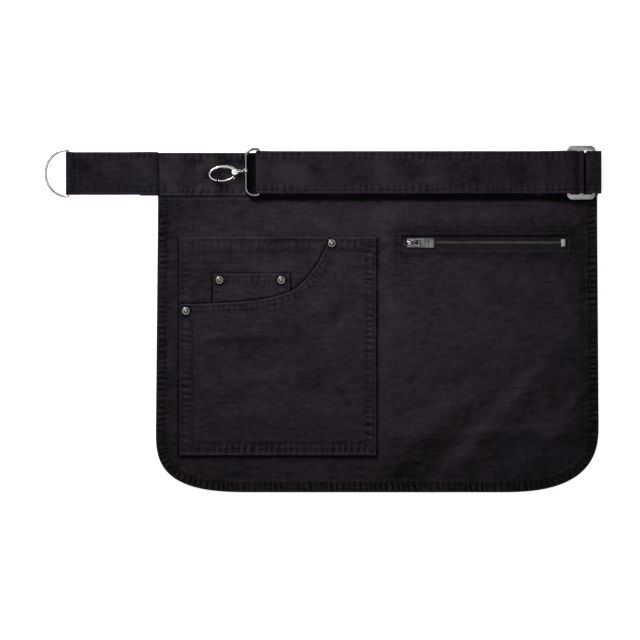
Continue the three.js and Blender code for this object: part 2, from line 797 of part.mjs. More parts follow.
function hookBody() {
  const steps = 22;
  const bow = wire(
    ovalArc(bowNose, bowEnd, steps),
    Array.from({ length: steps + 1 }, (_, k) => mix(hookWire - 0.1, hookShoulderWire, smooth(k / steps, 0.3, 1))),
    false,
  );
  const hub = new THREE.SphereGeometry(1, 12, 8)
    .scale(shoulder.long, shoulder.wide, shoulder.thick)
    .translate(-pivotBack, 0, 0);
  const collar = turnedAlongX(collarProfile);
  const bore = turnedAlongX([
    [stemEnd - 0.5, 0], [stemEnd - 0.5, stemRadius + gap], [0, stemRadius + gap], [0, 0],
  ]);
  const cheeks = box(
    -pivotBack - cheek.front, -pivotBack + cheek.back, -cheek.low, cheek.high,
    -gatePlate / 2 - gap, gatePlate / 2 + gap,
  );
  const pin = pinAlongZ(-pivotBack, 0, pivotPin, -shoulder.thick + gap, shoulder.thick - gap);
  const body = solid(bow).add(solid(hub)).add(solid(collar));
  return fromSolid(body.subtract(solid(bore)).subtract(solid(cheeks)).add(solid(pin)));
}

// The gate is drawn about its pivot
function hookGate() {
  const steps = 9;
  const radii = Array.from({ length: steps + 1 }, (_, k) => mix(gateTip, gateWire, Math.min(1, k / 3)));
  const arc = wire(ovalArc(gateStart, gateEnd, steps), radii, false);
  const arm = wire([ovalPoint(gateEnd - 4), new THREE.Vector2(-pivotBack, -washerRadius / 2)], gatePlate / 2, false, 8);
  const nub = pinAlongZ(thumb.x, thumb.y, thumb.radius, -thumb.half, thumb.half);
  const washer = pinAlongZ(-pivotBack, 0, washerRadius, -gatePlate / 2, gatePlate / 2, 16);
  const hole = pinAlongZ(-pivotBack, 0, pivotPin + gap, -gatePlate, gatePlate, 16);
  const gate = solid(arc).add(solid(arm)).add(solid(nub)).add(solid(washer)).subtract(solid(hole));
  return fromSolid(gate).translate(pivotBack, 0, 0);
}

// Heights of the pocket's layers above the surface
function pocketSwell(x, y) {
  const inset = Math.min(x - pocketLeft, pocketRight - x, y + pocketBottom);
  return smooth(inset, pocketSeam, pocketSeam + pocketRamp);
}

function mouthLift(x, y) {
  const share = (x - pocketLeft) / pocketWidth;
  const along = smooth(share, gapeStart, gapeFull) * (1 - smooth(share, gapeEase, gapeEnd));
  return mouthGape * along * (1 - smooth(-y - pocketTop, 0.1 * gapeDepth, gapeDepth));
}

function backBottom(x, y) {
  return clothWall + softGap + pocketRise * pocketSwell(x, y) + mouthLift(x, y);
}

function coinCover(x, y) {
  const outside = Math.max(coinX - x, x - coinX - coinWidth, y + coinDepth, -y - coinDepth - coinHeight);
  return 1 - smooth(outside, 2, 2 + coinRamp);
}

function coinBottom(x, y) {
  const inset = Math.min(x - coinX, coinX + coinWidth - x, y + coinDepth + coinHeight);
  return backBottom(x, y) + clothWall + softGap + coinRise * smooth(inset, 2, 10);
}

function frontBottom(x, y) {
  const overHem = hemExtra * (1 - smooth(-y - pocketTop, mouthHem + 6, mouthHem + 16));
  const overCoin = (coinRise + clothWall + softGap + coinClear) * coinCover(x, y);
  return backBottom(x, y) + clothWall + softGap + overHem + overCoin;
}

// A rectangular cloth piece with a turned hem along its top edge
function rectangleLayer(left, top, width, height, hem, spacing) {
  const xs = fill([left, left + width], spacing);
  const depths = fill([top, top + hem, top + hem + hemStep, top + height], spacing);
  const rows = depths.map((depth) => xs.map((x) => new THREE.Vector2(x, -depth)));
  const layer = new Layer();
  layer.add(rows, depths.map((depth) => (depth <= top + hem + 1e-6 ? 1 : 0)));
  return layer;
}

function pocketBack() {
  const layer = rectangleLayer(pocketLeft, pocketTop, pocketWidth, pocketHeight, mouthHem, 17);
  return layer.thicken(backBottom, (x, y, hem) => backBottom(x, y) + clothWall + backHem * hem);
}

function coinPocket() {
  const layer = rectangleLayer(coinX, coinDepth, coinWidth, coinHeight, coinHem, 12);
  return layer.thicken(coinBottom, (x, y, hem) => coinBottom(x, y) + clothWall + lightHem * hem);
}

function scoopLine() {
  const points = scoop.map((row) => new THREE.Vector3(
    pocketLeft + row.across * pocketWidth, -pocketTop - row.down * pocketHeight, 0,
  ));
  const curve = new THREE.CatmullRomCurve3(points, false, 'centripetal');
  return curve.getPoints(40).map((point) => new THREE.Vector2(point.x, point.y));
}

const mouthSteps = 20;
const pocketRows = 11;

function pocketFront() {
  const mouth = [...scoopLine(), new THREE.Vector2(pocketRight, -pocketTop)];
  const shares = fill([0, 1], 1 / mouthSteps);
  const top = resample(mouth, shares);
  const loops = [0, scoopHem, scoopHem + hemStep].map((distance) => {
    const loop = offsetLine(top, -distance);
    loop[0].x = pocketLeft;
    loop[loop.length - 1].x = pocketRight;
    return loop;
  });
  const inner = loops[2];
  const down = fill([0, 1], 1 / pocketRows);
  const bottom = shares.map((share) => new THREE.Vector2(pocketLeft + share * pocketWidth, -pocketBottom));
  const side = (start, x) => down.map((v) => new THREE.Vector2(x, mix(start.y, -pocketBottom, v)));
  const layer = new Layer();
  layer.add(loops, [1, 1, 0]);
  const rows = patch(inner, bottom, side(inner[0], pocketLeft), side(inner[mouthSteps], pocketRight), shares, down);
  layer.add(rows, rows.map(() => 0));
  return layer.thicken(frontBottom, (x, y, hem) => frontBottom(x, y) + clothWall + lightHem * hem);
}

// A rivet cap turned about Z, seated on a cloth height
function rivetCap() {
  const profile = [
    [0, 0], [1, 0], [1, 0.4], [0.86, 0.72], [0.62, 0.66], [0.42, 0.9], [0, 1],
  ].map(([out, up]) => new THREE.Vector2(out * rivetRadius, up * rivetHeight));
  return welded(new THREE.LatheGeometry(profile, 12).rotateX(Math.PI / 2));
}

function seatHeight(x, y, heightAt) {
  let height = heightAt(x, y);
  for (let k = 0; k < 8; k += 1) {
    const turn = k * Math.PI / 4;
    height = Math.max(height, heightAt(x + rivetRadius * Math.cos(turn), y + rivetRadius * Math.sin(turn)));
  }
  return height + gap;
}

// Outline of the zip pocket's pouch, drawn in by an inset
function bagOutline(inset) {
  const left = bagLeft + inset;
  const right = bagRight - inset;
  const top = -bagTop - inset;
  const bottom = -bagBottom + inset;
  return polygon([
    [left, bottom], [right - bagCutWidth, bottom], [right, bottom + bagCutHeight], [right, top], [left, top],
  ]);
}

// Side view of the pouch between two depths, from one height up to the panel less a clearance
function bagSection(inset, floor, below) {
  const start = bagTop + inset;
  const end = bagBottom - inset;
  const depths = fill([start, zipPlateauEnd, bagFlatStart, end], meshSpacing);
  const top = depths.map((depth) => [-depth, bagHeight(depth) - below]);
  return polygon([[-end, floor], [-start, floor], ...top]);
}

function zipPocketBag() {
  const outer = solid(runAlongX(bagSection(0, 0, gap), bagLeft, bagRight))
    .intersect(solid(plate(bagOutline(0), -clothWall, 2 * zipLift)));
  const cavity = solid(runAlongX(bagSection(bagSeam, clothWall, gap + clothWall), bagLeft, bagRight))
    .intersect(solid(plate(bagOutline(bagSeam), -clothWall, 2 * zipLift)));
  const window = box(
    zipLeft - tapeOverrun, zipRight + tapeOverrun, -zipBottom - tapeSeam - gap, -zipTop + tapeSeam + gap,
    zipMiddle - tapeWall, zipLift + 1,
  );
  return fromSolid(outer.subtract(cavity).subtract(solid(window)));
}

const tapeStart = zipLeft - tapeOverrun + gap;
const tapeEnd = zipRight + tapeOverrun - gap;
const chainHalf = chainWidth / 2;
const sliderX = zipLeft + sliderBack;
const chainStart = sliderX - chainLead;
const chainStop = zipRight - chainEnd;

function zipTape(upper) {
  const near = chainHalf + gap;
  const far = zipWindowHeight / 2 + tapeSeam;
  const [low, high] = upper ? [-zipLine + near, -zipLine + far] : [-zipLine - far, -zipLine - near];
  return box(tapeStart, tapeEnd, low, high, zipMiddle - tapeWall / 2, zipMiddle + tapeWall / 2);
}

// Closed zip teeth as one strip, notched on both sides between the teeth
function zipChain() {
  const count = Math.floor((chainStop - chainStart) / toothPitch);
  const notch = (chainStop - chainStart - count * toothPitch / 2) / (count - 1);
  const upper = [];
  for (let k = 0; k < count; k += 1) {
    const start = chainStart + k * (toothPitch / 2 + notch);
    const end = start + toothPitch / 2;
    upper.push([start, chainHalf], [end, chainHalf]);
    if (k < count - 1) upper.push([end, chainHalf - toothDepth], [end + notch, chainHalf - toothDepth]);
  }
  const lower = upper.map(([x, y]) => [x, -y]).reverse();
  const outline = polygon([...lower, ...upper].map(([x, y]) => [x, y - zipLine]));
  return plate(outline, zipMiddle - chainThickness / 2, zipMiddle + chainThickness / 2);
}

function zipStop() {
  const head = zipMiddle + Math.max(chainThickness, tapeWall) / 2 + gap;
  const section = polygon([
    [-chainHalf, zipMiddle - chainThickness / 2], [chainHalf, zipMiddle - chainThickness / 2],
    [chainHalf, head], [zipStopWidth / 2, head], [zipStopWidth / 2, head + zipStopPlate],
    [-zipStopWidth / 2, head + zipStopPlate], [-zipStopWidth / 2, head], [-chainHalf, head],
  ].map(([y, z]) => [y - zipLine, z]));
  return runAlongX(section, chainStop + gap, chainStop + gap + zipStopLength);
}

const sliderTop = zipMiddle + chainThickness / 2 + gap + sliderPlate;

function zipSlider() {
  const outline = roundedRectangle(
    sliderX - sliderLength / 2, sliderX + sliderLength / 2,
    -zipLine - sliderWidth / 2, -zipLine + sliderWidth / 2, sliderCorner,
  );
  const upper = plate(outline, sliderTop - sliderPlate, sliderTop);
  const base = zipMiddle - chainThickness / 2 - gap - sliderPlate;
  const lower = plate(outline, base, base + sliderPlate);
  const post = box(
    chainStart - gap - sliderPost, chainStart - gap,
    -zipLine - sliderPostHalf, -zipLine + sliderPostHalf, base, sliderTop,
  );
  const arch = Array.from({ length: 11 }, (_, k) => {
    const turn = Math.PI * k / 10;
    return new THREE.Vector2(bailHalf * Math.cos(turn), bailRise * Math.sin(turn) - sliderPlate / 2);
  });
  const bail = wire(arch, bailWire, false, 8).rotateX(Math.PI / 2).translate(sliderX, -zipLine, sliderTop);
  return fromSolid(solid(upper).add(solid(lower)).add(solid(post)).add(solid(bail)));
}

// The pull is drawn about the crossbar that hangs in the slider's bail
const pullAxisX = sliderX + pullHang;
const pullAxisZ = sliderTop + pullLift;

function zipPull() {
  const shape = new THREE.Shape();
  const half = pullWidth / 2;
  shape.moveTo(-pullBar, -pullNeck + pullBar);
  shape.lineTo(0, -pullNeck);
  shape.lineTo(pullNeckEnd, -pullNeck);
  shape.lineTo(pullShoulder, -half);
  shape.lineTo(pullLength - pullRound, -half);
  shape.absarc(pullLength - pullRound, -half + pullRound, pullRound, -Math.PI / 2, 0, false);
  shape.absarc(pullLength - pullRound, half - pullRound, pullRound, 0, Math.PI / 2, false);
  shape.lineTo(pullShoulder, half);
  shape.lineTo(pullNeckEnd, pullNeck);
  shape.lineTo(0, pullNeck);
  shape.lineTo(-pullBar, pullNeck - pullBar);
  const hole = roundedRectangle(pullBar, pullHole, -pullHoleHalf, pullHoleHalf, 0.4);
  shape.holes.push(new THREE.Path(hole.getPoints(2)));
  return plate(shape, -pullPlate / 2, pullPlate / 2, 4);
}

const canvas = { color: 0x272228, roughness: 0.9, metalness: 0 };
const webbing = { color: 0x252127, roughness: 0.85, metalness: 0 };
const nickel = { color: 0xc9c9cc, roughness: 0.18, metalness: 1 };
const steel = { color: 0x8f9297, roughness: 0.3, metalness: 1 };
const antique = { color: 0x77757a, roughness: 0.35, metalness: 1 };

const apron = new THREE.Group();

function addPiece(name, geometry, look, parent = apron) {
  const mesh = new THREE.Mesh(geometry, new THREE.MeshStandardMaterial(look));
  mesh.name = name;
  parent.add(mesh);
  return mesh;
}

function pivot(x, y, z, parent = apron) {
  const group = new THREE.Group();
  group.position.set(x, y, z);
  parent.add(group);
  return group;
}

addPiece('apron_panel', apronPanel(), canvas);
addPiece('waistband', waistband(), canvas);
addPiece('ring_tab', ringTab(), webbing);
addPiece('belt_strap', beltStrap(), webbing);
addPiece('slide_buckle', slideBuckle(), steel);
addPiece('pocket_back', pocketBack(), canvas);
addPiece('coin_pocket', coinPocket(), canvas);
addPiece('pocket_front', pocketFront(), canvas);
addPiece('zip_pocket_bag', zipPocketBag(), canvas);
addPiece('zip_tape_upper', zipTape(true), webbing);
addPiece('zip_tape_lower', zipTape(false), webbing);
addPiece('zip_chain', zipChain(), antique);
addPiece('zip_stop', zipStop(), antique);
addPiece('zip_slider', zipSlider(), steel);

// D-ring, tipped so that its round side rests on the surface
const ringPivot = pivot(tabRingX, -tabDepth, tabRingZ);
ringPivot.rotation.y = -Math.asin((tabRingZ - wireRadius) / (ringReach - wireRadius));
addPiece('d_ring', dRing(), nickel, ringPivot);

// Strap ring, level in the strap's left fold, with the hook on its left bar
addPiece('strap_ring', strapRing(), nickel, pivot(strapRingX, -strapDepth, ringZ));
const hookPivot = pivot(strapRingX - strapRingLength, -strapDepth + hookShift, ringZ);
hookPivot.rotation.set(0, THREE.MathUtils.degToRad(-hookTilt), THREE.MathUtils.degToRad(hookTurn), 'ZYX');
addPiece('hook_eye', hookEye(), nickel, hookPivot);
addPiece('hook_body', hookBody(), nickel, hookPivot);
addPiece('hook_gate', hookGate(), nickel, pivot(-pivotBack, 0, 0, hookPivot));

// Zip pull, hanging from the bail and lying back over the teeth
const pullPivot = pivot(pullAxisX, -zipLine, pullAxisZ);
const pullRest = zipMiddle + chainThickness / 2 + gap + pullPlate / 2;
pullPivot.rotation.y = Math.asin((pullAxisZ - pullRest) / pullLength);
addPiece('zip_pull', zipPull(), steel, pullPivot);

// Rivets: two on the coin pocket's upper corners, two at the ends of the scooped mouth
const coinSurface = (x, y) => coinBottom(x, y) + clothWall + lightHem;
const frontSurface = (x, y) => frontBottom(x, y) + clothWall + lightHem;
const rivets = [
  { x: coinX + rivetInset, depth: coinDepth + rivetInset, surface: coinSurface },
  { x: coinX + coinWidth - rivetInset - 2, depth: coinDepth + rivetInset, surface: coinSurface },
  { x: pocketLeft + rivetInset, depth: pocketTop + scoop[0].down * pocketHeight + rivetInset, surface: frontSurface },
  { x: pocketLeft + scoop[scoop.length - 1].across * pocketWidth, depth: pocketTop + rivetInset, surface: frontSurface },
];
rivets.forEach((rivet, k) => {
  const mesh = addPiece(`rivet_${k + 1}`, rivetCap(), antique);
  mesh.position.set(rivet.x, -rivet.depth, seatHeight(rivet.x, -rivet.depth, rivet.surface));
});

// The origin is the middle of the footprint, on the surface that the apron lies on
const extent = new THREE.Box3().setFromObject(apron, true);
const middle = extent.getCenter(new THREE.Vector3());
apron.position.set(-middle.x, -middle.y, -extent.min.z);

export default apron;
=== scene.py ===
import math

import bmesh
import bpy
import numpy as np
from bpy.props import FloatProperty, FloatVectorProperty, IntProperty, PointerProperty
from mathutils import Euler, Matrix, Vector
from mathutils.geometry import delaunay_2d_cdt
from mathutils.kdtree import KDTree


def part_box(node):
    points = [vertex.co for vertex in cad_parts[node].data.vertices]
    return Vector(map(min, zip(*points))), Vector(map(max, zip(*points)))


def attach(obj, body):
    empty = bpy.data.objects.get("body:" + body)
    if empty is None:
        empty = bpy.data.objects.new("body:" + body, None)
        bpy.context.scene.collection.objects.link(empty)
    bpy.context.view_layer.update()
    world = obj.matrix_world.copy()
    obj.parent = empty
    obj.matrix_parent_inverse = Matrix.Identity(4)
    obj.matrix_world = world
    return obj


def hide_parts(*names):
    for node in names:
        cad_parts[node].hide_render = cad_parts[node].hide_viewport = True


bl_info = {
    "name": "Waist Apron",
    "version": (1, 0, 0),
    "blender": (4, 5, 0),
    "location": "3D View > Sidebar > Apron",
    "description": "Builds a dark canvas waist apron with its pockets, strap and metal fittings",
    "category": "Add Mesh",
}

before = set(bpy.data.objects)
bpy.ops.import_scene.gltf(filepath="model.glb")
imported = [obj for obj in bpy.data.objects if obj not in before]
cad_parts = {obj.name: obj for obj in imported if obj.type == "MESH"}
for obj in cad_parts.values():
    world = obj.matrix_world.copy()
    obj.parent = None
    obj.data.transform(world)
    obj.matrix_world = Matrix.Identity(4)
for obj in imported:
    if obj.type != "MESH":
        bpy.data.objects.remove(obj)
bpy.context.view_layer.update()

# Sizes below are in millimetres from the waistband's top edge and the panel's left edge: x runs
# to the right, y up the cloth and z out of the surface. A depth down the cloth is -y.
WALL = 1.0
STRAP_WALL = 1.2
GAP = 0.3
SOFT_GAP = 0.45
HEM_EXTRA = 0.9
HEM_WIDTH = 10.0
HEM_STEP = 1.5
MOUTH_EXTRA = 0.72
LIGHT_HEM = 0.45
SCOOP_HEM = 10.0

BAND_LENGTH = 440.0
BAND_HEIGHT = 43.0
BAND_LAP = 18.0
SEAM = 15.0
BAND_TOP = 3.8
BAND_SLOT = 1.8
SLOT_MIDDLE = 1.9
SLOT_LIFT = 1.4
LAYER_STEP = 1.5

DROP = 340.0
FLARE_LEFT = 2.4
FLARE_RIGHT = 1.6
PANEL_RIGHT = 439.4
FOLD_RISE = 2.4
NOTCH = (415.4, -41.55)

POCKET = (21.5, 218.0, 84.5, 303.0)
MOUTH_HEM = 15.0
COIN = (55.2, 131.7, 121.2, 181.2)
COIN_HEM = 9.0
BAG = (235.7, 418.7, 70.0, 276.5)
WINDOW = (243.7, 410.7, 82.7, 98.2)
ZIP_LINE = 90.45
ZIP_MIDDLE = 3.3
ZIP_LIFT = 4.1
SLIDER = (WINDOW[0] + 9.9, 5.3)
PULL_HINGE = (WINDOW[0] + 11.1, 6.35)
BAG_LIFT = 2.7

TAB_DEPTH = 20.8
TAB_WIDTH = 42.8
TAB_RING = (-89.45, 2.95)
STRAP_DEPTH = 19.9
STRAP_WIDTH = 42.4
STRAP_RING_X = 100.95
STRAP_LOW = 4.7
RING_Z = 7.1
UNDER_BAR = 6.2
OVER_BAR = 9.4
BUCKLE = (408.6, 437.0, 20.3, 53.8, 7.1, 8.5)
BUCKLE_BAR = 3.4
BUCKLE_SLOT = 44.0
WIRE = 1.45

# Rows of stitches, as distances from the edges of their pieces
TAB_SEAMS = (3.2, 7.7, TAB_WIDTH - 3.2)
STRAP_SEAMS = (2.7, STRAP_WIDTH - 2.7)
BAND_SEAMS = (3.0, BAND_HEIGHT - 2.5)
PANEL_SEAM = 8.4
SIDE_SEAM = 2.5
LEFT_SEAM = 12.0
RIGHT_SEAM = 9.0
MOUTH_SEAMS = (3.8, 14.0)
FOOT_SEAMS = (5.5, 11.8)
LIP_SEAMS = (3.0, 8.6)
COIN_SEAMS = (3.0, 8.0)
COIN_SIDE = 2.6
COIN_EXTRA = 12.0

# Steps between the points of a net along its seams and along other rows, and the distance from
# the rim that stands for all of the flat cloth
SEAM_STEP = 1.5
ROW_STEP = 1.7
FAR = 9.0

RIVETS = (1, 2, 3, 4)
RIVET_SINK = 0.1
THREAD_SINK = 0.2

# Where the strap's left fold begins to cover the waistband and where it covers it fully, which bounds the
# painted shadow under the strap, and the oval of the hook's bow above the waistband, round which a shadow is
# painted: middle and half sizes
STRAP_START = (88.0, 98.0)
HOOK_SHADOW_OVAL = (65.2, -21.2, 13.0, 7.0)

# Broad folds of the lying panel, in shares of its width and drop: from, to, spread, rise
PANEL_FOLDS = (
    (0.641, 0.963, 0.914, 0.551, 0.044, 1.0),
    (0.575, 0.846, 0.777, 0.640, 0.034, 0.6),
    (0.830, 0.940, 0.960, 0.730, 0.030, 0.45),
)

# Smaller creases of the panel: from x, depth, to x, depth, half width, rise
PANEL_CREASES = (
    (262, 352, 402, 182, 9, 0.75),
    (288, 318, 326, 284, 5, 0.45),
    (346, 262, 388, 206, 6, 0.60),
    (295, 279, 395, 274, 3.2, 0.60),
    (393, 275, 426, 238, 4, 0.75),
    (146, 62, 184, 81, 4.5, 0.60),
    (231, 48, 219, 71, 6, 0.55),
    (250, 112, 402, 108, 5, 0.35),
    (396, 126, 424, 196, 7, 0.45),
    (232, 146, 262, 220, 9, 0.35),
    (60, 52, 120, 64, 6, 0.35),
    (330, 56, 352, 72, 5, 0.40),
    (378, 300, 420, 262, 6, 0.40),
)

# Creases of the pocket's front layer, in the same form
POCKET_CREASES = (
    (44, 186, 104, 178, 4, 0.60),
    (70, 226, 146, 218, 6, 0.70),
    (186, 226, 206, 272, 5, 0.60),
    (132, 170, 176, 142, 7, 0.55),
    (168, 196, 204, 150, 6, 0.55),
    (58, 262, 132, 254, 7, 0.45),
    (120, 240, 170, 262, 6, 0.40),
    (40, 208, 62, 262, 6, 0.40),
)

# Scooped mouth of the pocket's front layer, in shares of the pocket's width and height
SCOOP = (
    (0.0, 0.309), (0.189, 0.303), (0.401, 0.288), (0.562, 0.25),
    (0.63, 0.205), (0.698, 0.128), (0.74, 0.06), (0.775, 0.0),
)

_low_pocket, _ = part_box("pocket_back")
_, _high_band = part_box("waistband")
ORIGIN = Vector((_low_pocket.x * 1000 - POCKET[0], _high_band.y * 1000, 0.0))


def mix(a, b, t):
    return a + (b - a) * t


def smooth(value, low, high):
    share = np.clip((value - low) / (high - low), 0.0, 1.0)
    return share * share * (3 - 2 * share)


def bell(value, middle, width):
    """1 at the middle, falling off to both sides."""
    return np.exp(-(((value - middle) / width) ** 2))


def grain(x, y, size, seed):
    """Smooth noise from 0 to 1 over the cloth, with soft lumps of the given size."""
    u, v = np.asarray(x) / size + seed * 7.31, np.asarray(y) / size - seed * 3.77
    i, j = np.floor(u), np.floor(v)

    def corner(a, b):
        value = np.sin(a * 127.1 + b * 311.7 + seed * 74.7) * 43758.5453
        return value - np.floor(value)

    s, t = smooth(u - i, 0, 1), smooth(v - j, 0, 1)
    upper = mix(corner(i, j), corner(i + 1, j), s)
    lower = mix(corner(i, j + 1), corner(i + 1, j + 1), s)
    return mix(upper, lower, t)


def roping(along, away, seed):
    """Puckers of a washed seam, from -1 to 1: broad ridges across the band, narrow dips."""
    shift = 1.3 * grain(along, away / 6, 21, seed) + 0.5 * grain(along, away / 2, 8, seed + 1)
    wave = np.sin(2 * math.pi * (along / 6.4 + shift) + 0.12 * away)
    strong = 0.25 + 1.1 * grain(along, away / 3, 15, seed + 2)
    return strong * (0.6 - 1.6 * (0.5 - 0.5 * wave) ** 2)


def from_segment(x, y, x0, y0, x1, y1):
    run_x, run_y = x1 - x0, y1 - y0
    share = np.clip(((x - x0) * run_x + (y - y0) * run_y) / (run_x**2 + run_y**2), 0, 1)
    return np.hypot(x - x0 - share * run_x, y - y0 - share * run_y), share


def creases(x, y, table):
    """Rise of a list of soft creases, each highest in the middle of its length."""
    rise = np.zeros_like(x)
    for x0, d0, x1, d1, half, height in table:
        away, share = from_segment(x, y, x0, -d0, x1, -d1)
        rise += height * (0.35 + 0.65 * np.sin(np.pi * share)) * bell(away, 0, half)
    return rise


def outside(box, x, y):
    """How far a point lies outside a box of left, right, top depth and bottom depth."""
    left, right, top, bottom = box
    return np.maximum.reduce([left - x, x - right, y + top, -y - bottom])


def grown(box, left, right, top, bottom):
    """The same box with each side moved outwards."""
    return box[0] - left, box[1] + right, box[2] - top, box[3] + bottom


# Heights of the cloth layers, the same as the frame's solids


def bag_height(depth):
    return mix(ZIP_LIFT, BAG_LIFT, smooth(depth, WINDOW[3] + 8, WINDOW[3] + 28))


def fold_height(x, y):
    clear = smooth(x, POCKET[1] + 3, POCKET[1] + 30)
    edge = smooth(np.minimum(BAND_LENGTH - x, DROP + y), HEM_WIDTH, HEM_WIDTH + 26)
    rise = np.zeros_like(x)
    for x0, y0, x1, y1, spread, height in PANEL_FOLDS:
        away, _ = from_segment(x, y, x0 * BAND_LENGTH, -y0 * DROP, x1 * BAND_LENGTH, -y1 * DROP)
        rise += height * FOLD_RISE * bell(away, 0, spread * BAND_LENGTH)
    return rise * clear * edge


def ground(x, y):
    """Small lift of the panel's lying cloth, which every pocket layer on it follows."""
    sizes = bpy.context.scene.apron_cloth
    depth = -y
    lumps = 0.75 * grain(x, y, 46, 3) + 0.6 * grain(x, y, 19, 5) + 0.25 * grain(x + 0.6 * y, y, 8, 7)
    rise = sizes.wrinkles * (0.6 * lumps + 1.5 * creases(x, y, PANEL_CREASES))
    rise *= smooth(depth, BAND_HEIGHT + 3, BAND_HEIGHT + 18)
    rise *= smooth(outside(WINDOW, x, y) - 9, 0, 12)
    return rise * (1 - 0.65 * smooth(-outside(POCKET, x, y), -2, 12))


def panel_lift(x, y):
    depth = -y
    across = smooth(x, BAG[0] - 15.5, BAG[0]) * (1 - smooth(x, BAG[1], BAG[1] + 15))
    down = 1 - smooth(depth, BAG[3] + 5, BAG[3] + 20.5)
    below = bag_height(depth) * across * down + fold_height(x, y)
    return mix(SLOT_LIFT, below, smooth(depth, BAND_HEIGHT + 3, BAG[2]))


def pocket_swell(x, y):
    inset = np.minimum.reduce([x - POCKET[0], POCKET[1] - x, y + POCKET[3]])
    return smooth(inset, 5, 17)


def mouth_lift(x, y):
    share = (x - POCKET[0]) / (POCKET[1] - POCKET[0])
    along = smooth(share, 0.5, 0.72) * (1 - smooth(share, 0.8, 0.98))
    return 1.6 * along * (1 - smooth(-y - POCKET[2], 4.6, 46))


def back_bottom(x, y):
    return WALL + SOFT_GAP + pocket_swell(x, y) + mouth_lift(x, y)


def coin_cover(x, y):
    return 1 - smooth(outside(COIN, x, y), 2, 11)


def coin_bottom(x, y):
    inset = np.minimum.reduce([x - COIN[0], COIN[1] - x, y + COIN[3]])
    return back_bottom(x, y) + WALL + SOFT_GAP + 0.4 * smooth(inset, 2, 10)


def front_bottom(x, y):
    over_hem = HEM_EXTRA * (1 - smooth(-y - POCKET[2], MOUTH_HEM + 6, MOUTH_HEM + 16))
    over_coin = (0.4 + WALL + SOFT_GAP + 0.2) * coin_cover(x, y)
    return back_bottom(x, y) + WALL + SOFT_GAP + over_hem + over_coin


# Flat outlines


def evenly(points, spacing, closed=False):
    """The same line with points added, so that no step is longer than the spacing."""
    points = np.asarray(points, float)
    line = np.vstack([points, points[:1]]) if closed else points
    out = []
    for start, end in zip(line[:-1], line[1:]):
        steps = max(1, math.ceil(np.linalg.norm(end - start) / spacing - 1e-6))
        out.extend(mix(start, end, k / steps) for k in range(steps))
    if not closed:
        out.append(line[-1])
    return np.array(out)


def thinned(points, spacing):
    """A finely sampled line, walked again in steps of about the spacing."""
    points = np.asarray(points, float)
    steps = np.linalg.norm(np.diff(points, axis=0), axis=1)
    lengths = np.concatenate([[0], np.cumsum(steps)])
    count = max(1, round(lengths[-1] / spacing))
    wanted = np.linspace(0, lengths[-1], count + 1)
    return np.column_stack([np.interp(wanted, lengths, points[:, k]) for k in range(points.shape[1])])


def offset(points, distance, closed=False):
    """The line moved to its left-hand side."""
    points = np.asarray(points, float)
    if closed:
        along = np.roll(points, -1, axis=0) - np.roll(points, 1, axis=0)
    else:
        along = np.gradient(points, axis=0)
    along /= np.maximum(np.linalg.norm(along, axis=1, keepdims=True), 1e-9)
    return points + distance * np.column_stack([-along[:, 1], along[:, 0]])


def corner_curve(side, inward, width, height, power):
    """A rounded lower corner of the panel, from its side down to its foot."""
    turn = np.linspace(0, math.pi / 2, 49)
    x = side + inward * width * (1 - np.cos(turn) ** (2 / power))
    y = -(DROP - height) - height * np.sin(turn) ** (2 / power)
    return np.column_stack([x, y])


def panel_sides(spacing):
    """The hemmed edge, from the left end of the waistband round to its right end."""
    left = corner_curve(-FLARE_LEFT, 1, 100, 62, 3)
    right = corner_curve(PANEL_RIGHT + FLARE_RIGHT, -1, 99, 68, 2.65)[::-1]
    start, end = [(0, -(BAND_HEIGHT - SEAM))], [(PANEL_RIGHT, NOTCH[1])]
    dense = evenly(np.vstack([start, left, right, end]), 0.5)
    return thinned(dense, spacing)


def scoop_line(spacing):
    """The pocket's scooped mouth, a smooth curve through the points of SCOOP."""
    left, right, top, bottom = POCKET
    points = [(left + a * (right - left), -top - d * (bottom - top)) for a, d in SCOOP]
    points = [np.array(p) for p in points]
    rail = [2 * points[0] - points[1], *points, 2 * points[-1] - points[-2]]
    out = []
    for p0, p1, p2, p3 in zip(rail, rail[1:], rail[2:], rail[3:]):
        t1, t2, t3 = np.cumsum([math.sqrt(np.linalg.norm(step)) for step in (p1 - p0, p2 - p1, p3 - p2)])
        for t in np.linspace(t1, t2, 12, endpoint=False):
            share = (t - t1) / (t2 - t1)
            a1, a2, a3 = mix(p0, p1, t / t1), mix(p1, p2, share), mix(p2, p3, (t - t2) / (t3 - t2))
            b1, b2 = mix(a1, a2, t / t2), mix(a2, a3, (t - t1) / (t3 - t1))
            out.append(mix(b1, b2, share))
    out.append(points[-1])
    return thinned(evenly(out, 0.4), spacing)


def lip_shade(net):
    """Shade on what lies just above the lip of the pocket's scooped mouth."""
    away, _ = net.beside(scoop_line(1.0))
    return 3.0 * bell(away, 0, 1.5)


def rivet_place(number):
    """Middle of a rivet's node, and the height of its foot."""
    low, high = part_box(f"rivet_{number}")
    return (low + high) / 2 * 1000 - ORIGIN, low.z * 1000


def rivet_shade(points):
    """Painted shade in a ring round each rivet, where it presses into the cloth."""
    shade = np.zeros(len(points))
    for number in RIVETS:
        middle, _ = rivet_place(number)
        away = np.hypot(points[:, 0] - middle.x, points[:, 1] - middle.y)
        shade += 1.3 * bell(away, 4.3, 1.6)
    return shade


def rectangle(x0, x1, low, high, spacing):
    return evenly([(x0, -high), (x1, -high), (x1, -low), (x0, -low)], spacing, closed=True)


# Cloth layers


def tree_of(points):
    """A search tree over the points, seen from above."""
    tree = KDTree(len(points))
    for k, point in enumerate(points):
        tree.insert((point[0], point[1], 0), k)
    tree.balance()
    return tree


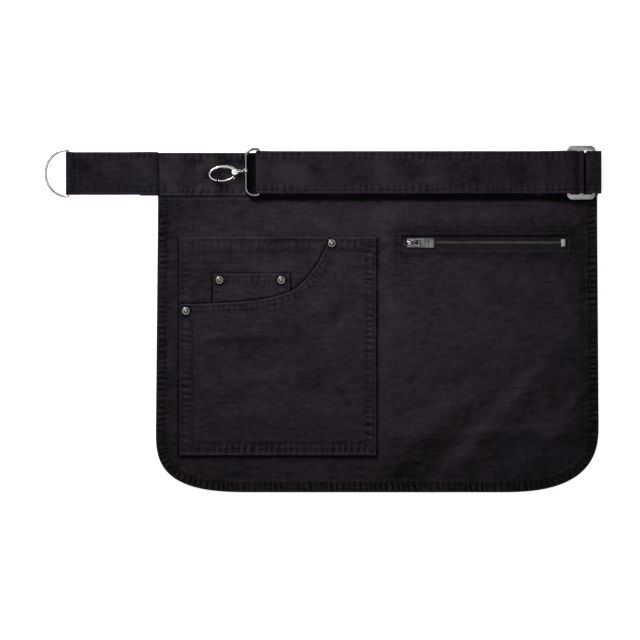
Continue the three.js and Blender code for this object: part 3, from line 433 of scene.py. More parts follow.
class Net:
    """Points and triangles of a flat cloth piece, with rows of points along its seams."""

    def __init__(self, outline, spacing, seams=(), rows=(), holes=()):
        self.outline = np.asarray(outline)
        bounds = [self.outline]
        # Each line of fixed points has its distance from the rim and the depth of its groove
        lines = [(self.outline, 0, 0)]
        for hole in holes:
            edge = rectangle(*hole, spacing)
            bounds.append(edge)
            lines += [(edge, 0, 0), (offset(edge, -0.7, closed=True), 0.7, 0)]
        lines += [(offset(self.outline, d, closed=True), d, 0) for d in (0.35, 0.95)]
        lines += [(row, FAR, 0) for row in rows]
        for seam in seams:
            lines += [(seam, FAR, 1), (offset(seam, 0.9), FAR, 0.4), (offset(seam, -0.9), FAR, 0.4)]
        fixed = np.vstack([line for line, _, _ in lines])
        rim = np.concatenate([np.full(len(line), float(away)) for line, away, _ in lines])
        groove = np.concatenate([np.full(len(line), float(depth)) for line, _, depth in lines])
        tree = tree_of(fixed)
        kept, taken = [], np.zeros(len(fixed), bool)
        for k, point in enumerate(fixed):
            if taken[k]:
                continue
            kept.append(k)
            for _, other, _ in tree.find_range((point[0], point[1], 0), 0.22):
                if other > k:
                    taken[other] = True
        low, high = self.outline.min(0), self.outline.max(0)
        field = []
        for j, y in enumerate(np.arange(low[1] + spacing / 2, high[1], spacing * math.sqrt(3) / 2)):
            shift = spacing / 2 * (j % 2)
            field.extend((x, y) for x in np.arange(low[0] + spacing / 2 + shift, high[0], spacing))
        field = [p for p in field if tree.find((p[0], p[1], 0))[2] > 0.62 * spacing]
        points = np.vstack([fixed[kept], np.array(field)])
        rim = np.concatenate([rim[kept], np.full(len(field), FAR)])
        groove = np.concatenate([groove[kept], np.zeros(len(field))])
        edges = []
        for loop in bounds:
            ids = [int(np.argmin(np.hypot(*(points - point).T))) for point in loop]
            edges.extend(zip(ids, ids[1:] + ids[:1]))
        out, _, faces, origin, _, _ = delaunay_2d_cdt([Vector(p) for p in points], edges, [], 0, 1e-5, True)
        pick = np.array([o[0] if o else -1 for o in origin])
        self.points = np.array([[v.x, v.y] for v in out])
        self.rim = np.where(pick >= 0, rim[pick], FAR)
        self.groove = np.where(pick >= 0, groove[pick], 0.0)
        triangles = np.array(faces)
        centre = self.points[triangles].mean(1)
        inside = self._within(centre, self.outline)
        for x0, x1, low_depth, high_depth in holes:
            in_hole = (centre[:, 0] > x0) & (centre[:, 0] < x1)
            in_hole &= (-centre[:, 1] > low_depth) & (-centre[:, 1] < high_depth)
            inside &= ~in_hole
        triangles = triangles[inside]
        a, b, c = (self.points[triangles[:, k]] for k in range(3))
        turn = (b[:, 0] - a[:, 0]) * (c[:, 1] - a[:, 1]) - (b[:, 1] - a[:, 1]) * (c[:, 0] - a[:, 0])
        triangles[turn < 0] = triangles[turn < 0][:, ::-1]
        self.triangles = triangles[np.abs(turn) > 1e-9]
        self.area = float(np.abs(turn).sum() / 2)

    @staticmethod
    def _within(points, outline):
        inside = np.zeros(len(points), bool)
        x, y = points[:, 0], points[:, 1]
        for (x0, y0), (x1, y1) in zip(outline, np.roll(outline, -1, axis=0)):
            crosses = (y0 > y) != (y1 > y)
            if y0 != y1:
                inside ^= crosses & (x < (x1 - x0) * (y - y0) / (y1 - y0) + x0)
        return inside

    def beside(self, line):
        """How far each point lies from a line, and how far along it."""
        step = 0.5
        tree = tree_of(evenly(line, step))
        found = [tree.find((p[0], p[1], 0)) for p in self.points]
        return np.array([f[2] for f in found]), np.array([f[1] for f in found]) * step


def to_frame(points):
    return (np.asarray(points, float) + np.array(ORIGIN)) / 1000


def store_wear_and_shade(piece, values):
    """Keeps how much lighter (above 0) or darker (below 0) each point of a cloth is painted: wear, painted
    light and painted shade.
    """
    layer = piece.data.attributes.new("wear_and_shade", "FLOAT", "POINT")
    layer.data.foreach_set("value", np.asarray(values, np.float32))


def add_mesh(name, points, faces, material=None, edges=()):
    """A mesh object from points in the layout's millimetres."""
    mesh = bpy.data.meshes.new(name)
    mesh.from_pydata(to_frame(points).tolist(), edges, [list(map(int, f)) for f in faces])
    mesh.update()
    if material:
        mesh.materials.append(material)
    mesh.shade_smooth()
    piece = bpy.data.objects.new(name, mesh)
    bpy.context.scene.collection.objects.link(piece)
    return piece


def round_over(share):
    """Height of a rounded edge, from 0 at the rim to 1 where the flat begins."""
    return np.sqrt(1 - (1 - np.clip(share, 0, 1)) ** 2)


def laid_cloth(name, net, bottom, top, material, wear_and_shade=0.0):
    """Closes a net between its lower and upper heights, with its edges rounded."""
    inset = (top - bottom) * 0.4 * (1 - round_over(net.rim / 0.95))
    count = len(net.points)
    points = np.vstack([np.column_stack([net.points, z]) for z in (top - inset, bottom + inset)])
    used = set()
    for a, b, c in net.triangles:
        used.update(((a, b), (b, c), (c, a)))
    faces = [tuple(t) for t in net.triangles]
    faces += [(a + count, c + count, b + count) for a, b, c in net.triangles]
    for a, b in used:
        if (b, a) not in used:
            faces.append((b, a, a + count, b + count))
    piece = add_mesh(name, points, faces, material)
    # Lighter band along the rim, painted shadow in the seam grooves and painted shade round the rivets
    wear_and_shade = wear_and_shade + 0.7 * np.exp(-((net.rim - 0.8) ** 2) / 0.6) - 1.1 * net.groove
    wear_and_shade -= rivet_shade(net.points)
    store_wear_and_shade(piece, np.concatenate([wear_and_shade, 0 * wear_and_shade]))
    return clean_mesh(piece)


def clean_mesh(piece):
    """Drops loose points, closes what is open by a hair and turns the faces outwards."""
    work = bmesh.new()
    work.from_mesh(piece.data)
    bmesh.ops.delete(work, geom=[v for v in work.verts if not v.link_faces], context="VERTS")
    bmesh.ops.remove_doubles(work, verts=work.verts, dist=1e-6)
    bmesh.ops.recalc_face_normals(work, faces=work.faces)
    work.to_mesh(piece.data)
    work.free()
    return piece


# Strap routes in the X-Z plane: x, z and the radius of the bend there


def rounded_route(stations):
    """A line through the stations, with an arc of the station's radius at each."""
    points = [np.array(stations[0][:2], float)]
    for before, here, after in zip(stations, stations[1:], stations[2:]):
        at = np.array(here[:2], float)
        back = np.array(before[:2], float) - at
        ahead = np.array(after[:2], float) - at
        back /= np.linalg.norm(back)
        ahead /= np.linalg.norm(ahead)
        half = math.acos(max(-1, min(1, float(back @ ahead)))) / 2
        trim = here[2] / math.tan(half)
        middle = at + (back + ahead) / np.linalg.norm(back + ahead) * here[2] / math.sin(half)
        start, end = at + back * trim - middle, at + ahead * trim - middle
        sweep = math.atan2(start[0] * end[1] - start[1] * end[0], float(start @ end))
        steps = max(2, math.ceil(abs(sweep) / 0.14))
        for k in range(steps + 1):
            turn = sweep * k / steps
            c, s = math.cos(turn), math.sin(turn)
            points.append(middle + np.array([c * start[0] - s * start[1], s * start[0] + c * start[1]]))
    points.append(np.array(stations[-1][:2], float))
    return evenly(points, 1.9)


def tab_route():
    turn = WIRE + GAP + STRAP_WALL / 2
    fold, low = TAB_RING[0] - turn, STRAP_WALL / 2
    stations = (
        (-1, SLOT_MIDDLE, 0), (-BAND_LAP - 2, SLOT_MIDDLE, 8), (-BAND_LAP - 13, low, 8),
        (fold, low, turn - 0.01), (fold, low + 2 * turn, turn - 0.01),
        (TAB_RING[0] + 1.45, low + 2 * turn, 1.6), (TAB_RING[0] + 6.25, low + LAYER_STEP, 2.4),
        (-BAND_LAP - 12, low + LAYER_STEP, 8), (-BAND_LAP - 1.5, STRAP_LOW, 6), (0, STRAP_LOW, 0),
    )
    return rounded_route(stations)


def belt_route():
    end = BAND_LENGTH + 3.1 - STRAP_WALL / 2
    middle, left = (BUCKLE[0] + BUCKLE[1]) / 2, BUCKLE[0] + BUCKLE_BAR
    centre = middle + BUCKLE_BAR / 2 + GAP + STRAP_WALL / 2
    turn = RING_Z - STRAP_LOW
    fold, tail = STRAP_RING_X - turn, middle - BUCKLE_BAR / 2 - 33
    head, foot = BUCKLE[0] - 1.56, left - 19.8
    over, step = OVER_BAR, LAYER_STEP
    low, high = STRAP_LOW, STRAP_LOW + 2 * turn
    stations = (
        (BAND_LENGTH - 24, SLOT_MIDDLE, 0), (end, SLOT_MIDDLE, 2.4), (end, over, 2.4),
        (centre + 3.6, over, 1.6), (centre + 2.7, low, 1.6), (left + 3.36, low, 1.4),
        (left + 1.5, over, 1.4), (head, over, 8), (foot, low, 8),
        (fold, low, turn - 0.01), (fold, high, turn - 0.01),
        (STRAP_RING_X + 2.4, high, 4), (STRAP_RING_X + 13.2, low + step, 8),
        (tail - 9, low + step, 8), (tail - 2.04, low + 2 * step, 8),
        (foot - 0.4, low + 2 * step, 8), (head - 0.4, over + 2 * step, 8),
        (left + 2.64, over + 2 * step, 1.6), (middle - 2.66, over, 1.6),
        (centre, over, 1.4), (centre, UNDER_BAR, 1.4), (left + 4.5, UNDER_BAR, 1.4),
        (left + 2.64, over + step, 1.4), (head - 0.2, over + step, 8),
        (foot - 0.2, UNDER_BAR, 8), (tail, UNDER_BAR, 0),
    )
    return rounded_route(stations)


def strap_edges(depth, width, narrow):
    high, low = -depth + width / 2, -depth - width / 2
    high_in = min(high, -BAND_TOP / 2 - GAP)
    low_in = max(low, -BAND_HEIGHT + GAP)
    return mix(low, low_in, narrow), mix(high, high_in, narrow)


def slab_faces(rows, columns):
    """Faces of a slab between two grids of points, all of the upper grid first."""
    size, faces = rows * columns, []
    for a in (r * columns + c for r in range(rows - 1) for c in range(columns - 1)):
        b, d, e = a + 1, a + columns, a + columns + 1
        faces += [(a, d, e, b), (a + size, b + size, e + size, d + size)]
    rim = [(r * columns + c, (r + 1) * columns + c) for r in range(rows - 1) for c in (0, columns - 1)]
    rim += [(r * columns + c, r * columns + c + 1) for c in range(columns - 1) for r in (0, rows - 1)]
    return faces + [(a, b, b + size, a + size) for a, b in rim]


def cloth_strap(name, route, depth, width, narrow, seams, shown_above, detail):
    """A flat strap run along a route, with rounded edges, seam grooves and small puckers."""
    along = np.gradient(route, axis=0)
    along /= np.linalg.norm(along, axis=1, keepdims=True)
    lift = np.column_stack([-along[:, 1], along[:, 0]])
    bend, edge = 0.9, [0, 0.3, 0.9]
    inner = [v for v in np.arange(2.0, width - 1.9, 2.4) if all(abs(v - g) > 1.4 for g in seams)]
    lines = edge + inner + [g + d for g in seams for d in (-0.8, 0, 0.8)] + [width - e for e in edge]
    lines = np.array(sorted(lines))
    rim = np.minimum(lines, width - lines)
    half = STRAP_WALL / 2 * np.where(rim < bend, 0.35 + 0.65 * round_over(rim / bend), 1)
    groove = np.array([0.22 if any(abs(v - g) < 1e-6 for g in seams) else 0 for v in lines])
    low, high = np.array([strap_edges(depth, width, n) for n in narrow]).T
    y = low[:, None] + (high - low)[:, None] * lines / width
    travel = np.concatenate([[0], np.cumsum(np.linalg.norm(np.diff(route, axis=0), axis=1))])
    seen = smooth(along[:, 0], 0.5, 0.95) * smooth(route[:, 1], shown_above, shown_above + 0.3)
    bump, wear_and_shade = detail(travel[:, None] + 0 * y, y, rim + 0 * y)
    # Lighter along both rolled edges, more along the lower one, and painted shadow in the seam grooves
    wear_and_shade += np.where(lines < width / 2, 1.7, 0.8) * bell(rim, 1.2, 1) - 1.2 * (groove > 0)
    points = []
    for side, raised in ((1, bump * seen[:, None]), (-1, 0)):
        away = side * (half - groove + raised)
        points.append(np.stack([route[:, :1] + lift[:, :1] * away, y, route[:, 1:] + lift[:, 1:] * away], -1))
    points = np.stack(points).reshape(-1, 3)
    piece = add_mesh(name, points, slab_faces(len(route), len(lines)), finish_of("strap_canvas"))
    store_wear_and_shade(piece, np.tile(wear_and_shade.ravel(), 2))
    return clean_mesh(piece), float(travel[-1])


# Metal pieces


def tube(points, radii, closed=False, sides=16):
    """A round wire along points, as points and faces."""
    points = np.asarray(points, float)
    count = len(points)
    radii = np.broadcast_to(np.asarray(radii, float), (count,))
    if closed:
        along = np.roll(points, -1, axis=0) - np.roll(points, 1, axis=0)
    else:
        along = np.gradient(points, axis=0)
    along /= np.linalg.norm(along, axis=1, keepdims=True)
    normal = np.cross(along[0], along[count // 3])
    if np.linalg.norm(normal) < 1e-6:
        normal = np.cross(along[0], (0.3, 0.5, 0.8))
    normal /= np.linalg.norm(normal)
    side = np.cross(normal, along)
    side /= np.linalg.norm(side, axis=1, keepdims=True)
    turn = np.arange(sides) * 2 * math.pi / sides
    ring = np.cos(turn)[:, None] * side[:, None] + np.sin(turn)[:, None] * normal
    verts = (points[:, None] + radii[:, None, None] * ring).reshape(-1, 3)
    faces = []
    for k in range(count if closed else count - 1):
        near, far = k * sides, (k + 1) % count * sides
        for s in range(sides):
            t = (s + 1) % sides
            faces.append((near + s, near + t, far + t, far + s))
    if not closed:
        faces.append(tuple(range(sides - 1, -1, -1)))
        faces.append(tuple(range((count - 1) * sides, count * sides)))
    return verts, faces


def turned(profile, segments=32):
    """A profile of (out, up) rows turned about the Z axis."""
    verts, faces, starts = [], [], []
    for out, up in profile:
        starts.append(len(verts))
        turns = [2 * math.pi * s / segments for s in range(segments)] if out > 1e-9 else [0]
        verts += [(out * math.cos(a), out * math.sin(a), up) for a in turns]
    for k, (a0, b0) in enumerate(zip(starts, starts[1:])):
        pointed_a, pointed_b = profile[k][0] < 1e-9, profile[k + 1][0] < 1e-9
        for s in range(segments):
            t = (s + 1) % segments
            if pointed_a and not pointed_b:
                faces.append((a0, b0 + t, b0 + s))
            elif pointed_b and not pointed_a:
                faces.append((a0 + s, a0 + t, b0))
            elif not pointed_a:
                faces.append((a0 + s, a0 + t, b0 + t, b0 + s))
    return np.array(verts, float), faces


def join_shapes(shapes):
    verts, faces, start = [], [], 0
    for v, f in shapes:
        verts.append(np.asarray(v, float))
        faces += [tuple(i + start for i in face) for face in f]
        start += len(v)
    return np.vstack(verts), faces


def moved(shape, matrix):
    verts, faces = shape
    ones = np.ones((len(verts), 1))
    return (np.hstack([verts, ones]) @ np.array(matrix).T)[:, :3], faces


def box_shape(x0, x1, y0, y1, z0, z1):
    verts = [(x, y, z) for z in (z0, z1) for y in (y0, y1) for x in (x0, x1)]
    faces = [(0, 2, 3, 1), (4, 5, 7, 6), (0, 1, 5, 4), (2, 6, 7, 3), (0, 4, 6, 2), (1, 3, 7, 5)]
    return np.array(verts, float), faces


def prism(outline, low, high):
    """A flat plate from its outline, as points and faces."""
    count = len(outline)
    faces = [tuple(reversed(range(count))), tuple(range(count, 2 * count))]
    faces += [(k, (k + 1) % count, (k + 1) % count + count, k + count) for k in range(count)]
    return np.array([(x, y, z) for z in (low, high) for x, y in outline]), faces


def solid_piece(name, shape, material=None):
    return clean_mesh(add_mesh(name, *shape, material))


def apply_modifiers(piece):
    """Works the piece's modifiers into its mesh."""
    bpy.context.view_layer.update()
    graph = bpy.context.evaluated_depsgraph_get()
    mesh = bpy.data.meshes.new_from_object(piece.evaluated_get(graph))
    piece.modifiers.clear()
    old, piece.data = piece.data, mesh
    mesh.name = piece.name
    bpy.data.meshes.remove(old)


def modify(piece, kind, **settings):
    """Adds a modifier with its settings and applies it."""
    modifier = piece.modifiers.new(kind.title(), kind)
    for key, value in settings.items():
        setattr(modifier, key, value)
    apply_modifiers(piece)


def discard(piece):
    mesh = piece.data
    bpy.data.objects.remove(piece)
    bpy.data.meshes.remove(mesh)


def cut_away(piece, shape):
    tool = solid_piece("cut_tool", shape)
    modify(piece, "BOOLEAN", object=tool, operation="DIFFERENCE", solver="EXACT")
    discard(tool)


def join_mesh(piece, shape):
    extra = solid_piece("extra", shape)
    work = bmesh.new()
    work.from_mesh(piece.data)
    work.from_mesh(extra.data)
    work.to_mesh(piece.data)
    work.free()
    discard(extra)
    piece.data.shade_smooth()
    return piece


def round_edges(piece, width, segments):
    modify(piece, "BEVEL", width=width / 1000, segments=segments, limit_method="ANGLE", angle_limit=0.6)
    piece.data.shade_smooth()


def seat(piece, node, body):
    """The piece stands for a node of the frame, whose part it hides, and rides on a body."""
    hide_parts(node)
    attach(piece, body)


# Shaders


class Value:
    """A node socket that can be used in Python arithmetic."""

    def __init__(self, maker, socket):
        self.maker, self.socket = maker, socket

    def _math(self, operation, other):
        return self.maker.node("ShaderNodeMath", {"operation": operation}, {0: self, 1: other})

    def __add__(self, other):
        return self._math("ADD", other)

    def __sub__(self, other):
        return self._math("SUBTRACT", other)

    def __mul__(self, other):
        return self._math("MULTIPLY", other)


class Nodes:
    """A node tree under construction; its nodes are added by type, settings and inputs."""

    def __init__(self, tree):
        self.tree = tree

    def node(self, kind, settings=None, inputs=None, output=0):
        made = self.tree.nodes.new(kind)
        for key, value in (settings or {}).items():
            setattr(made, key, value)
        for key, value in (inputs or {}).items():
            self.feed(made.inputs[key], value)
        return Value(self, made.outputs[output])

    def feed(self, socket, value):
        if isinstance(value, Value):
            self.tree.links.new(value.socket, socket)
        elif isinstance(value, tuple) and len(value) == 3 and socket.type == "RGBA":
            socket.default_value = (*value, 1.0)
        else:
            socket.default_value = value


class Shader(Nodes):
    """A material under construction."""

    def __init__(self, name):
        self.material = bpy.data.materials.new(name)
        self.material.use_nodes = True
        super().__init__(self.material.node_tree)

    def here(self, scale=(1, 1, 1), turn=0.0):
        coordinates = self.node("ShaderNodeTexCoord", output=3)
        return self.node(
            "ShaderNodeMapping", {"vector_type": "POINT"},
            {"Vector": coordinates, "Scale": scale, "Rotation": (0, 0, turn)},
        )

    def noise(self, scale, detail=3.0, roughness=0.55, stretch=(1, 1, 1), turn=0.0):
        return self.node(
            "ShaderNodeTexNoise", {"noise_dimensions": "3D"},
            {"Vector": self.here(stretch, turn), "Scale": scale, "Detail": detail, "Roughness": roughness},
        )

    def limit(self, value, low, high, to_low=0.0, to_high=1.0):
        return self.node(
            "ShaderNodeMapRange", {"clamp": True, "interpolation_type": "SMOOTHSTEP"},
            {"Value": value, "From Min": low, "From Max": high, "To Min": to_low, "To Max": to_high},
        )

    def blend(self, factor, a, b, how="MIX"):
        settings = {"data_type": "RGBA", "blend_type": how}
        return self.node("ShaderNodeMix", settings, {0: factor, 6: a, 7: b}, output=2)

    def bump(self, height, distance, strength=1.0, **under):
        inputs = {"Height": height, "Distance": distance, "Strength": strength, **under}
        return self.node("ShaderNodeBump", inputs=inputs)

    def finish(self, **inputs):
        surface = self.tree.nodes["Principled BSDF"]
        for key, value in inputs.items():
            self.feed(surface.inputs[key.replace("_", " ")], value)
        return self.material


def scaled(colour, factor):
    return tuple(c * factor for c in colour)


def woven_cloth(name, colour, thread, slub, lift=1.0):
    """Dyed plain-weave canvas: thread crossings, slubs, uneven dye, and each point's stored wear, painted
    light and painted shade.
    """
    cloth = Shader(name)
    warp = cloth.noise(900, 2, 0.55, stretch=(1.0, 0.085, 1.0))
    weft = cloth.noise(900, 2, 0.55, stretch=(0.085, 1.0, 1.0))
    slubs = cloth.limit(warp * 0.5 + weft * 0.5, 0.36, 0.64)
    clouds = cloth.limit(cloth.noise(22, 4, 0.6), 0.28, 0.72)
    mottle = cloth.limit(cloth.noise(170, 4, 0.65, stretch=(0.55, 1, 1)), 0.28, 0.72)
    # Stored per point: wear, painted light of the relief and painted shadows, which lighten and darken the
    # dye
    wear_and_shade = cloth.node(
        "ShaderNodeAttribute", {"attribute_type": "GEOMETRY", "attribute_name": "wear_and_shade"}, output=2
    )
    uneven = (slubs - 0.5) * slub * 0.5 + (clouds - 0.5) * 0.25 + (mottle - 0.5) * 0.62
    base = cloth.blend(
        uneven * 0.45 + wear_and_shade * 0.3 + 0.46, scaled(colour, 0.06 * lift), scaled(colour, 2.06 * lift)
    )
    cool = cloth.limit(cloth.noise(14, 2, 0.5), 0.48, 0.66, 0.0, 0.36)
    base = cloth.blend(cool, base, (0.84, 0.98, 1.12), "MULTIPLY")
    place = cloth.here()
    turn = math.pi / (thread / 1000)
    wave_x, wave_y = (
        cloth.node("ShaderNodeMath", {"operation": "SINE"}, {
            0: cloth.node("ShaderNodeSeparateXYZ", inputs={0: place}, output=axis) * turn
        })
        for axis in (0, 1)
    )
    weave = wave_x * wave_y * 0.5 + 0.5
    fine = cloth.bump(weave * 0.6 + slubs * 0.8, 0.00022, 0.45)
    coarse = cloth.bump(mottle + clouds * 1.5, 0.0012, 0.6, Normal=fine)
    return cloth.finish(
        Base_Color=base,
        Roughness=cloth.limit(mottle, 0.2, 0.8, 0.86, 0.97),
        Normal=coarse,
        Sheen_Weight=0.05,
        Sheen_Roughness=0.5,
        Sheen_Tint=(0.75, 0.72, 0.78),
        Specular_IOR_Level=0.12,
    )


def sewing_thread(name, colour):
    thread = Shader(name)
    twist = thread.noise(900, 2, 0.5)
    base = thread.blend(twist, scaled(colour, 0.7), scaled(colour, 1.35))
    return thread.finish(
        Base_Color=base,
        Roughness=0.62,
        Normal=thread.bump(twist, 0.0002, 0.5),
        Sheen_Weight=0.1,
        Specular_IOR_Level=0.35,
    )


def polished_metal(name, colour, rough, scratch=0.12, dark=0.6):
    """Plated metal with hairline wear, soft tarnish in patches and a little uneven polish."""
    metal = Shader(name)
    clouds = metal.noise(140, 4, 0.6)
    lines = metal.noise(1400, 2, 0.4, stretch=(0.04, 1, 1), turn=0.5)
    tarnish = metal.limit(clouds, 0.35, 0.75)
    base = metal.blend(tarnish * 0.5, colour, scaled(colour, dark))
    return metal.finish(
        Base_Color=base,
        Metallic=1.0,
        Roughness=tarnish * 0.1 + metal.limit(lines, 0.4, 0.8, 0, scratch) + rough,
        Normal=metal.bump(lines * 0.3 + clouds, 0.00004, 0.25),
    )


def floor_paint(name, colour):
    floor = Shader(name)
    clouds = floor.noise(3, 2, 0.5)
    base = floor.blend(clouds * 0.06, colour, scaled(colour, 0.97))
    return floor.finish(
        Base_Color=base, Roughness=0.9, Specular_IOR_Level=0.1,
        Emission_Color=(1.0, 1.0, 1.0), Emission_Strength=0.9,
    )


def finish_of(name):
    """A finish by its name, made once."""
    made = bpy.data.materials.get(name)
    if made:
        return made
    looks = bpy.context.scene.apron_looks
    canvas, strap, lining, thread, nickel, steel, antique = (
        tuple(getattr(looks, dye))
        for dye in ("canvas", "strap", "lining", "thread", "nickel", "steel", "antique")
    )
    weave = looks.thread_pitch * 1000
    makers = {
        "dark_canvas": (woven_cloth, canvas, weave, 1.0),
        "strap_canvas": (woven_cloth, strap, weave, 0.8),
        "lining_cotton": (woven_cloth, lining, 0.4, 0.5),
        # The zip tapes take the strap's dye at 0.85, darkened as painted shade of the window's recess
        "zip_tape_weave": (woven_cloth, strap, 0.55, 0.4, 0.85),
        "tonal_thread": (sewing_thread, thread),
        "polished_nickel": (polished_metal, nickel, 0.09),
        "brushed_steel": (polished_metal, steel, 0.24, 0.2),
        # The strap ring's nickel: the rings' polished nickel darkened to 0.42, a painted shade on the ring in
        # the strap's fold
        "worn_nickel": (polished_metal, scaled(nickel, 0.42), 0.12, 0.14),
        "zip_steel": (polished_metal, scaled(steel, 0.7), 0.26, 0.2, 0.4),
        "worn_teeth": (polished_metal, scaled(antique, 0.68), 0.42, 0.16, 0.3),
        "antique_metal": (polished_metal, antique, 0.22, 0.16, 0.35),
    }
    maker, *values = makers[name]
    return maker(name, *values)


# Property groups


def size(label, text, default, low=0.0, high=1.0):
    return FloatProperty(
        name=label, description=text, default=default, min=low, max=high, unit="LENGTH",
        subtype="DISTANCE",
    )


def colour(label, text, default):
    return FloatVectorProperty(
        name=label, description=text, default=default, size=3, min=0.0, max=1.0, subtype="COLOR"
    )


class ApronCloth(bpy.types.PropertyGroup):
    spacing: size("Net spacing", "Distance between the points of the cloth", 0.0026, 0.001, 0.02)
    wrinkles: FloatProperty(
        name="Wrinkles", description="Strength of the small creases", default=1.0, min=0.0, max=2.0,
        subtype="FACTOR",
    )
    pucker: size("Pucker", "Height of the puckers along the seams", 0.0005, 0.0, 0.002)
    groove: size("Seam groove", "How deep a row of stitches is drawn in", 0.00042, 0.0, 0.001)


class ApronStitches(bpy.types.PropertyGroup):
    pitch: size("Pitch", "Distance from one stitch to the next", 0.0031, 0.001, 0.02)
    length: size("Length", "Length of the thread that shows", 0.0025, 0.0005, 0.02)
    thread: size("Thread", "Width of the sewing thread", 0.0006, 0.0001, 0.002)
    seed: IntProperty(name="Seed", description="Seed of the stitches' unevenness", default=4, min=0)


class ApronLooks(bpy.types.PropertyGroup):
    canvas: colour("Canvas", "Dye of the panel and pockets", (0.0220, 0.0167, 0.0229))
    strap: colour("Strap", "Dye of the strap, the ring tab and the zip tapes", (0.0165, 0.0123, 0.0182))
    lining: colour("Lining", "Cotton of the zip pocket's pouch", (0.030, 0.026, 0.032))
    thread: colour("Thread", "Dye of the sewing thread", (0.0130, 0.0098, 0.0138))
    nickel: colour("Nickel", "Polished rings and hook", (0.80, 0.79, 0.77))
    steel: colour("Steel", "Slide buckle, zip slider and pull", (0.28, 0.28, 0.285))
    antique: colour("Antique metal", "Rivets and zip teeth", (0.34, 0.33, 0.31))
    floor: colour("Floor", "Surface that the apron lies on", (0.92, 0.92, 0.92))
    thread_pitch: size("Weave", "Distance between the threads of the canvas", 0.0005, 0.0002, 0.005)


class ApronStage(bpy.types.PropertyGroup):
    distance: size("Distance", "Height of the camera above the cloth", 2.0, 0.2, 10.0)
    view: size("View", "Width of the cloth that the camera shows", 0.64, 0.1, 5.0)
    light: FloatProperty(
        name="Window", description="Power of the slanting light", default=10.5, min=0.0, unit="POWER",
    )
    top_light: FloatProperty(
        name="Softbox", description="Power of the light above the cloth", default=0.85, min=0.0, unit="POWER",
    )
    card: FloatProperty(
        name="Card", description="Power of the white card that the metal mirrors", default=20.0, min=0.0,
        unit="POWER",
    )
    fill: FloatProperty(
        name="Fill", description="Strength of the even light from all sides", default=0.045, min=0.0,
    )


# Where the stitches run: each row is a line on the cloth, with the height under it
SEAM_ROWS = []


def sew(line, height):
    """Keeps a row of stitches for the sewing step, on a height or a height function."""
    line = evenly(line, SEAM_STEP)
    z = height(*line.T) if callable(height) else np.full(len(line), float(height))
    SEAM_ROWS.append(np.column_stack([line, z]))


def lying_on(layer, above):
    """A height function: a distance above the underside of a layer, with the lying cloth's lift."""
    return lambda x, y: layer(x, y) + ground(x, y) + above


class Maker:
    """Common words of the operators."""

    bl_options = {"REGISTER", "UNDO"}

    def execute(self, context):
        self.make(context)
        return {"FINISHED"}


class APRON_OT_stage(Maker, bpy.types.Operator):
    """Pale floor, soft light and the camera straight above"""

    bl_idname = "apron.stage"
    bl_label = "Stage"

    @staticmethod
    def lamp(scene, name, power, width, place, aim):
        light = bpy.data.lights.new(name, "AREA")
        light.shape, light.size, light.energy = "SQUARE", width, power
        lamp = bpy.data.objects.new(name, light)
        lamp.location = place
        lamp.rotation_euler = (Vector(aim) - Vector(place)).to_track_quat("-Z", "Y").to_euler()
        lamp.visible_camera = False
        scene.collection.objects.link(lamp)
        return lamp

    def make(self, context):
        scene, stage = context.scene, context.scene.apron_stage
        half = 3.0
        mesh = bpy.data.meshes.new("floor")
        corners = [(-half, -half, 0), (half, -half, 0), (half, half, 0), (-half, half, 0)]
        mesh.from_pydata(corners, [], [(0, 1, 2, 3)])
        floor = bpy.data.objects.new("floor", mesh)
        floor.location.z = -0.0002
        scene.collection.objects.link(floor)
        mesh.materials.append(floor_paint("pale_floor", tuple(scene.apron_looks.floor)))
        world = bpy.data.worlds.new("studio")
        scene.world = world
        world.use_nodes = True
        background = world.node_tree.nodes["Background"]
        background.inputs[0].default_value = (1.0, 1.0, 1.0, 1.0)
        background.inputs[1].default_value = stage.fill
        self.lamp(scene, "window", stage.light, 0.3, (-0.62, 0.95, 0.58), (0.05, -0.02, 0))
        place, aim = (0.03, 0.1, 0.35), (0.045, 0.06, 0)
        softbox = self.lamp(scene, "softbox", stage.top_light, 0.2, place, aim)
        softbox.visible_glossy = False
        card = self.lamp(scene, "metal_card", stage.card, 2.2, (0.0, 0.2, 2.6), (0, 0, 0))
        card.visible_diffuse = False
        camera_data = bpy.data.cameras.new("camera")
        camera_data.sensor_width = 36.0
        camera_data.lens = 36.0 * stage.distance / stage.view
        camera_data.clip_start, camera_data.clip_end = 0.05, 20.0
        camera = bpy.data.objects.new("camera", camera_data)
        camera.location = (-0.00259, -0.0008, stage.distance + 0.004)
        scene.collection.objects.link(camera)
        scene.camera = camera
        scene.view_settings.view_transform = "Standard"


